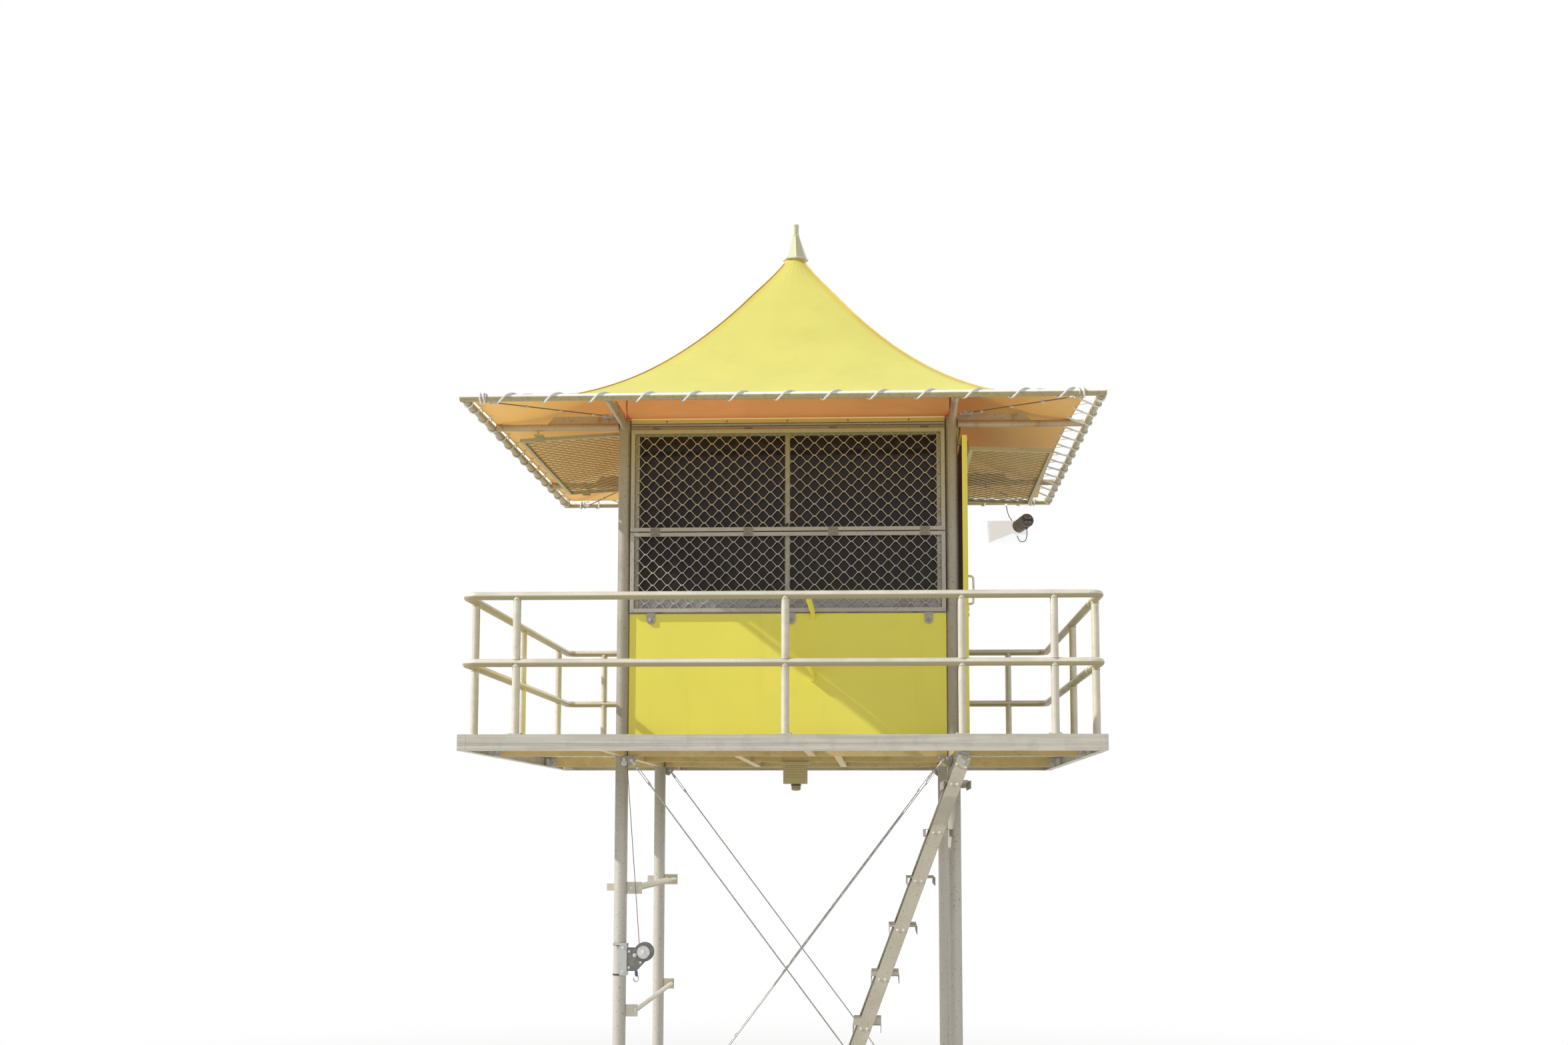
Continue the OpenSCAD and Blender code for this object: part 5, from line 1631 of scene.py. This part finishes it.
class TOWER_OT_screens(bpy.types.Operator):
    """Finishes the mesh screens, with the grille's pressed joints, screws, hinges and lugs"""

    bl_idname = "tower.screens"
    bl_label = "Mesh screens"

    def execute(self, context):
        for name, (place, width, height) in SCREENS.items():
            coat(name + "_screen", "grille_alloy")
            self.joints(name, place, width, height)
            self.fittings(name, place, width, height)
        return {"FINISHED"}

    def joints(self, name, place, width, height):
        """The flat joints where two strands are pressed together, twice as thick as a strand."""
        shape = Shape()
        dw, dh = DIAMOND
        inner_w, inner_h = width - 2 * SCREEN_F, height - 2 * SCREEN_F
        outline = [(-0.0105, 0), (-0.0066, -0.0045), (0.0066, -0.0045), (0.0105, 0), (0.0066, 0.0045),
                   (-0.0066, 0.0045)]
        rows = int(inner_h / (dh / 2)) + 2
        columns = int(inner_w / dw) // 2 + 2
        for j in range(rows + 1):
            z = SCREEN_F - 0.001 - MESH_START[1] + j * dh / 2
            for i in range(-columns, columns + 1):
                x = (i + (0.0 if j % 2 == 0 else 0.5)) * dw - MESH_START[0]
                if abs(x) > inner_w / 2 - 0.012 or not SCREEN_F + 0.004 < z < height - SCREEN_F - 0.004:
                    continue
                points, faces = [], []
                for depth, size in ((-0.0046, 0.66), (-0.0030, 1.0), (0.0030, 1.0), (0.0046, 0.66)):
                    points += [(x + px * size, -SCREEN_T / 2 + depth, z + pz * size) for px, pz in outline]
                for level in range(3):
                    for k in range(6):
                        n = (k + 1) % 6
                        faces.append([6 * level + k, 6 * level + n, 6 * level + 6 + n, 6 * level + 6 + k])
                faces += [[5, 4, 3, 2, 1, 0], [18, 19, 20, 21, 22, 23]]
                shape.add(points, faces, place)
        piece(name + "_grille_joints", shape, "grille_alloy", crease=28)

    def fittings(self, name, place, width, height):
        """Screws and mitre lines of the frame, with hinge pins and leaves above or lugs below."""
        shape = Shape()
        leaf = Shape()
        lugs = Shape()
        face = -SCREEN_T
        for sx in (-1, 1):
            for sz in (0, 1):
                x = sx * (width / 2 - SCREEN_F / 2)
                z = SCREEN_F / 2 if sz == 0 else height - SCREEN_F / 2
                shape.dome(place @ Vector((x, face, z)), place.to_3x3() @ Vector(FRONT), 0.009, 0.0025, 8)
                cut = sx * (width / 2 - SCREEN_F)
                shape.block((cut - 0.0004, face - 0.0004, z - SCREEN_F / 2 + 0.001),
                            (cut + 0.0004, face + 0.001, z + SCREEN_F / 2 - 0.001), 0.0001, place)
        for side in (-1, 1):
            for z in (0.33 * height, 0.67 * height):
                x = side * (width / 2 - SCREEN_F / 2)
                shape.dome(place @ Vector((x, face, z)), place.to_3x3() @ Vector(FRONT), 0.007, 0.002, 8)
        pin_y = -0.001 if name == "front_upper" else 0.002
        shares = HINGE_SHARES if name in ("front_upper", "left", "rear") else ()
        for share in shares:
            x = share * SCREEN_W / 2
            ends = [place @ Vector((x + reach, pin_y, height + 0.004)) for reach in (-0.037, 0.037)]
            shape.tube(ends, 0.0045, 10)
            if name == "front_upper":
                leaf.block((x - 0.033, -POST - 0.0296, FRAME_TOP - 0.004),
                           (x + 0.033, -POST - 0.0288, FRAME_TOP + 0.0165), 0.0002)
                leaf.block((x - 0.034, -POST - WALL_HALF - SCREEN_T - 0.0046, UPPER_Z - 0.033),
                           (x + 0.034, -POST - WALL_HALF - SCREEN_T - 0.0038, UPPER_Z + 0.023), 0.0002)
                for dx in (-0.024, 0.024):
                    shape.dome((x + dx, -POST - 0.0290, FRAME_TOP + 0.006), FRONT, 0.008, 0.002, 8)
                    shape.dome((x + dx, -POST - WALL_HALF - SCREEN_T - 0.004, UPPER_Z - 0.012), FRONT,
                               0.009, 0.0025, 8)
        if name == "front_lower":
            for share in (-0.865, 0.025, 0.892):
                x = share * SCREEN_W / 2
                at = Vector((x, -POST - WALL_HALF - 0.0078, LOWER_Z - 0.056))
                lug = [(0.029 * math.cos(a), 0.029 * math.sin(a))
                       for a in (math.pi * (1 + k / 14) for k in range(15))]
                lug = [(px, pz - 0.002) for px, pz in lug] + [(0.029, 0.054), (-0.029, 0.054)]
                lugs.plate(lug, 0.0, 0.0018, upright(at, FRONT))
                lugs.turned([(0.015, 0.0), (0.015, 0.002), (0.0135, 0.003), (0.010, 0.003)],
                            upright(at + Vector((0, -0.0016, 0)), FRONT), 20)
                shape.dome(at + Vector((0, -0.004, 0)), FRONT, 0.019, 0.006, 16)
        piece(name + "_screen_fittings", shape, "bracket_steel")
        if name == "front_upper":
            piece("screen_hinge_leaves", leaf, "leaf_steel")
        if name == "front_lower":
            piece("screen_lugs", lugs, "bracket_steel")


# Bracing, ladder and gear


def brace_ends():
    """The upper end, the lower end and the side, -1 in front or 1 at the rear, of each stay."""
    brace_x, brace_z = POST - 0.075, DECK - 0.135
    brace_y, off = POST + POST_R + 0.0043, 0.0093
    for s in (-1, 1):
        outer, inner = s * (brace_y + off), s * (brace_y - off)
        yield Vector((-brace_x, outer, brace_z)), Vector((brace_x, outer, 0.200)), s
        yield Vector((brace_x, inner, brace_z)), Vector((-brace_x, inner, 0.200)), s


class TOWER_OT_bracing(bpy.types.Operator):
    """Finishes the stays and their plates, with forks, pins and lock nuts"""

    bl_idname = "tower.bracing"
    bl_label = "Bracing"

    def execute(self, context):
        coat("front_stays", "zinc")
        coat("rear_stays", "zinc")
        coat("brace_plates", "post_alloy")
        shape = Shape()
        for top, foot, s in brace_ends():
            way = (foot - top).normalized()
            for at, out in ((top, way), (foot, -way)):
                shape.turned([(0.013, -0.010), (0.013, 0.010)], upright(at, REAR), 16)
                for side in (-1, 1):
                    shape.hex_bolt(at + Vector((0, side * 0.010, 0)), (0, side, 0), 0.017)
                shape.turned([(0.0085, 0.0), (0.0085, 0.046), (0.0062, 0.050)], upright(at, out), 12)
            for t in (0.066, 0.214):
                shape.turned([(0.0105, 0.0), (0.0105, 0.008)], upright(top + way * t, way), 6)
        piece("stay_pins", shape, "bright_steel")
        plates = Shape()
        for s in (-1, 1):
            y = s * (POST + POST_R + 0.0083)
            for x, z in ((POST - 0.045, EDGE_FOOT - 0.018), (POST - 0.100, EDGE_FOOT - 0.012),
                         (-POST + 0.020, EDGE_FOOT - 0.020)):
                plates.hex_bolt((x, y, z), (0, s, 0), 0.013)
            for x in (-POST + 0.030, POST - 0.030):
                plates.hex_bolt((x, y, 0.225), (0, s, 0), 0.015)
                plates.hex_bolt((x, y, 0.170), (0, s, 0), 0.015)
        piece("plate_bolts", plates, "zinc")
        return {"FINISHED"}


class TOWER_OT_ladder(bpy.types.Operator):
    """Finishes the hinged ladder, with tread bolts, hinge washers and feet"""

    bl_idname = "tower.ladder"
    bl_label = "Ladder"

    def execute(self, context):
        coat("ladder_stringers", "ladder_alloy")
        coat("ladder_treads", "tread_alloy")
        coat("ladder_hinge", "zinc")
        place = Matrix.Translation((PIVOT_X, 0, PIVOT_Z)) @ Matrix.Rotation(TILT, 4, "Y")
        shape = Shape()
        first = 0.124
        count = int((PIVOT_Z - first - 0.160) / TREAD_RISE)
        for k in range(count + 1):
            z = PIVOT_Z - first - k * TREAD_RISE
            x = PIVOT_X - (PIVOT_Z - z + 0.023) * math.tan(TILT)
            for face, out in ((LADDER_FRONT, -1), (LADDER_BACK, 1)):
                for dx in (-0.020, 0.020):
                    shape.hex_bolt((x + dx, face, z - 0.023), (0, out, 0), 0.012)
        for face, out in ((LADDER_FRONT - 0.006, -1), (LADDER_BACK, 1)):
            shape.ring(place @ upright((0, face, 0), (0, out, 0)), 0.0150, 0.0016, 28, 6)
        for dx, dz in ((-0.030, -0.030), (0.030, -0.030), (-0.030, 0.030), (0.030, 0.030)):
            shape.hex_bolt(place @ Vector((dx, LADDER_FRONT - 0.006, dz)), FRONT, 0.010)
        piece("ladder_bolts", shape, "bright_steel", "ladder")
        pads = Shape()
        foot = PIVOT_Z / math.cos(TILT) - 0.030
        for y in (LADDER_FRONT + 0.013, LADDER_BACK - 0.013):
            pads.block((-0.046, y - 0.015, -foot - 0.004), (0.046, y + 0.015, -foot + 0.050), 0.003, place)
        piece("ladder_feet", pads, "black_rubber", "ladder")
        return {"FINISHED"}


class TOWER_OT_winch(bpy.types.Operator):
    """Finishes the hand winch and its pulley, with gears, strap, hook and rope turns"""

    bl_idname = "tower.winch"
    bl_label = "Winch"

    def execute(self, context):
        coat("winch", "winch_steel")
        coat("hoist_pulley", "bright_steel")
        x, z = -POST, DECK - 1.510
        reel = (x + 0.171, z + 0.051)
        rope = Shape()
        for k in range(7):
            y = -POST - 0.0290 + 0.0072 * k
            rope.ring(upright((reel[0], y, reel[1]), (0, 1, 0.06)), 0.0315, 0.0032, 28, 6)
        piece("winch_rope", rope, "steel_cable")
        gear = Shape()
        gear.plate(gear_outline(28, 0.0465, 0.0415), 0.0, 0.006,
                   upright((reel[0], -POST - 0.054, reel[1]), FRONT))
        gear.plate(gear_outline(12, 0.0155, 0.0115), 0.0, 0.010,
                   upright((x + 0.112, -POST - 0.052, z + 0.030), FRONT))
        for at in ((reel[0], -POST - 0.062, reel[1]), (x + 0.112, -POST - 0.060, z + 0.030)):
            gear.hex_bolt(at, FRONT, 0.017)
        for dx, dz in ((0.070, -0.055), (0.070, 0.055), (0.168, 0.060), (0.150, -0.020)):
            gear.hex_bolt((x + dx, -POST - 0.046, z + dz), FRONT, 0.011)
        for dz in (-0.082, 0.082):
            gear.hex_bolt((x + 0.029, -POST - POST_R - 0.0053, z + dz), FRONT, 0.014)
        gear.hex_bolt((-POST + 0.023, -POST - POST_R - 0.026, DECK - 0.157), FRONT, 0.012)
        piece("winch_gear", gear, "bright_steel")
        strap = Shape()
        for dz in (0.101, -0.104):
            strap.ring(upright((x, -POST, z + dz), UP), POST_R + 0.0016, 0.0016, 40, 6, 4.0)
        strap.block((x - 0.020, -POST - POST_R - 0.006, z + 0.093),
                    (x + 0.004, -POST - POST_R - 0.001, z + 0.110), 0.001)
        piece("winch_strap", strap, "black_rubber")
        hook = Shape()
        base = Vector((x + 0.120, -POST - 0.030, z - 0.070))
        bend = [base + Vector(step) for step in (
            (0, 0, 0), (0.004, 0, -0.030), (0.014, 0, -0.055), (0.006, 0, -0.078), (-0.014, 0, -0.076),
            (-0.018, 0, -0.056))]
        hook.tube(smooth(bend, 26), 0.0048, 10)
        piece("winch_hook", hook, "bright_steel")
        grip = Shape()
        grip.turned([(0.006, 0.0), (0.010, 0.004), (0.011, 0.024), (0.008, 0.040), (0.005, 0.042)],
                    upright(base + Vector((0.002, 0, -0.046)), (-0.1, 0, 1)), 14)
        piece("hook_grip", grip, "blue_grip")
        return {"FINISHED"}


class TOWER_OT_gear(bpy.types.Operator):
    """Finishes the storage rack, the junction box and the horn, with caps, lid, rims and screws"""

    bl_idname = "tower.gear"
    bl_label = "Rack, box and horn"

    def execute(self, context):
        coat("storage_rack", "rail_alloy")
        coat("junction_box", "box_plastic")
        coat("loudspeaker", "horn_coat")
        self.rack()
        self.box()
        self.horn()
        return {"FINISHED"}

    def rack(self):
        """The end caps of the rack's rails and the bolts of its brackets."""
        shape = Shape()
        for k, (share, out) in enumerate(((0.681, 0.150), (0.419, 0.128))):
            z = DECK * share
            rails = [out - 0.020] + ([out - 0.080] if k == 0 else [])
            for x in rails:
                for s in (-1, 1):
                    cap = upright((-POST + x, s * POST, z), (0, s, 0))
                    shape.turned([(0.0172, 0.001), (0.0172, 0.003), (0.013, 0.006), (0.003, 0.007)], cap, 20)
            for s in (-1, 1):
                for dz in (-0.025, 0.025):
                    shape.hex_bolt((-POST + POST_R + 0.014, s * (POST + 0.003), z + dz), (0, s, 0), 0.012)
        piece("rack_caps", shape, "bright_steel")

    def box(self):
        """The ribbed lid, the screws and the lamp of the box under the deck."""
        low = EDGE_FOOT - 0.0003
        shape = Shape()
        for dx in (-0.076, 0.086):
            for dz in (-0.020, -0.150):
                shape.dome((dx, -0.050, low + dz), FRONT, 0.010, 0.003)
        for dx in (-0.092, 0.102):
            for y in (-0.036, 0.036):
                shape.hex_bolt((dx, y, low - 0.006), DOWN, 0.010)
        piece("box_screws", shape, "bright_steel")
        ribs = Shape()
        ribs.block((-0.080, -0.0530, low - 0.140), (0.090, -0.0490, low - 0.028), 0.002)
        for k in range(5):
            z = low - 0.046 - 0.019 * k
            ribs.block((-0.070, -0.0555, z - 0.004), (0.080, -0.0520, z + 0.004), 0.001)
        piece("box_lid", ribs, "box_plastic")
        lamp = Shape()
        lamp.turned([(0.0352, 0.0), (0.040, 0.003), (0.040, 0.012), (0.0352, 0.015)],
                    upright((0.010, 0, low - 0.182), UP), 28)
        lamp.turned([(0.0352, 0.0), (0.030, -0.004), (0.010, -0.007)],
                    Matrix.Translation((0.010, 0, low - 0.2095)), 28)
        lamp.ring(upright((0.010, 0, low - 0.195), UP), 0.0352, 0.002, 28, 6)
        piece("box_lamp", lamp, "lamp_glass")

    def horn(self):
        """The horn's driver with its rings and fins, the mouth's rim and the hanger's bolts."""
        rims = Shape()
        for depth, r in ((-0.184, 0.055), (-0.232, 0.0545), (-0.262, 0.0545), (-0.304, 0.0575),
                         (-0.364, 0.0570)):
            rims.ring(SPEAKER @ upright((0, depth, 0.012), REAR), r, 0.0026, 32, 6)
        face = SPEAKER @ Matrix.Translation((0, -0.3795, 0.012))
        for angle in (45, 135):
            bar = face @ Matrix.Rotation(math.radians(angle), 4, "Y")
            rims.block((-0.040, -0.003, -0.003), (0.040, 0.002, 0.003), 0.001, bar)
        piece("driver_rings", rims, "pale_plastic")
        slot = Shape()
        slot.block((-0.041, -0.0046, -0.010), (0.041, 0.001, 0.008), 0.001, face)
        piece("driver_slot", slot, "black_rubber")
        driver = Shape()
        driver.turned([(0.0535, 0.0), (0.0542, 0.002), (0.0542, 0.114), (0.0535, 0.116)],
                      SPEAKER @ upright((0, -0.184, 0.012), FRONT), 36)
        driver.turned([(0.0565, 0.0), (0.0572, 0.002), (0.0572, 0.066), (0.0550, 0.0765), (0.0478, 0.0800),
                       (0.0470, 0.0785)],
                      SPEAKER @ upright((0, -0.3005, 0.012), FRONT), 36)
        for k in range(16):
            a = 2 * math.pi * k / 16
            fin = SPEAKER @ Matrix.Translation((0, 0, 0.012)) @ Matrix.Rotation(a, 4, "Y")
            driver.block((0.0520, -0.296, -0.002), (0.0562, -0.236, 0.002), 0.0008, fin)
        driver.turned([(0.010, 0.0), (0.010, 0.014), (0.006, 0.018)],
                      SPEAKER @ upright((0, -0.340, -0.0425), DOWN), 12)
        piece("horn_driver", driver, "grey_plastic")
        white = Shape()
        rim = [(-0.212, -0.102), (0.212, -0.102), (0.212, 0.102), (-0.212, 0.102)]
        for a, b in zip(rim, rim[1:] + rim[:1]):
            white.tube([SPEAKER @ Vector((a[0], -0.004, a[1])), SPEAKER @ Vector((b[0], -0.004, b[1]))],
                       0.0036, 10)
        white.turned([(0.030, 0.0), (0.036, 0.020), (0.026, 0.060), (0.010, 0.090)],
                     SPEAKER @ upright((0, -0.172, 0.006), REAR), 28)
        for x in (1.757, 1.934):
            for z in (ROOF - 0.060, ROOF - 0.180):
                white.hex_bolt((x, ROOF_HALF - 0.010, z), FRONT, 0.013)
            white.ring(upright((x, ROOF_HALF, ROOF), RIGHT), ROOF_R + 0.0020, 0.0020, 32, 6, 5.0)
        piece("horn_rim", white, "horn_coat")


# Panel, register and run


PROPERTIES = (TOWER_PG_colours, TOWER_PG_sizes, TOWER_PG_stage)
OPERATORS = (
    TOWER_OT_stage, TOWER_OT_cables, TOWER_OT_roof_fabric, TOWER_OT_roof_frame, TOWER_OT_posts,
    TOWER_OT_deck, TOWER_OT_guard_rails, TOWER_OT_walls, TOWER_OT_door, TOWER_OT_windows,
    TOWER_OT_screens, TOWER_OT_bracing, TOWER_OT_ladder, TOWER_OT_winch, TOWER_OT_gear,
)


class TOWER_PT_dressing(bpy.types.Panel):
    """Lists the steps that dress the tower"""

    bl_label = "Tower"
    bl_idname = "TOWER_PT_dressing"
    bl_space_type = "VIEW_3D"
    bl_region_type = "UI"
    bl_category = "Tower"

    def draw(self, context):
        for group in (context.scene.tower_colours, context.scene.tower_sizes, context.scene.tower_stage):
            box = self.layout.box()
            for name in group.__annotations__:
                box.prop(group, name)
        for operator in OPERATORS:
            self.layout.operator(operator.bl_idname)


def register():
    for each in (*PROPERTIES, *OPERATORS, TOWER_PT_dressing):
        bpy.utils.register_class(each)
    bpy.types.Scene.tower_colours = PointerProperty(type=TOWER_PG_colours)
    bpy.types.Scene.tower_sizes = PointerProperty(type=TOWER_PG_sizes)
    bpy.types.Scene.tower_stage = PointerProperty(type=TOWER_PG_stage)


def unregister():
    del bpy.types.Scene.tower_stage
    del bpy.types.Scene.tower_sizes
    del bpy.types.Scene.tower_colours
    for each in reversed((*PROPERTIES, *OPERATORS, TOWER_PT_dressing)):
        bpy.utils.unregister_class(each)


def main():
    register()
    for operator in OPERATORS:
        group, name = operator.bl_idname.split(".")
        getattr(getattr(bpy.ops, group), name)()


if __name__ == "__main__":
    main()
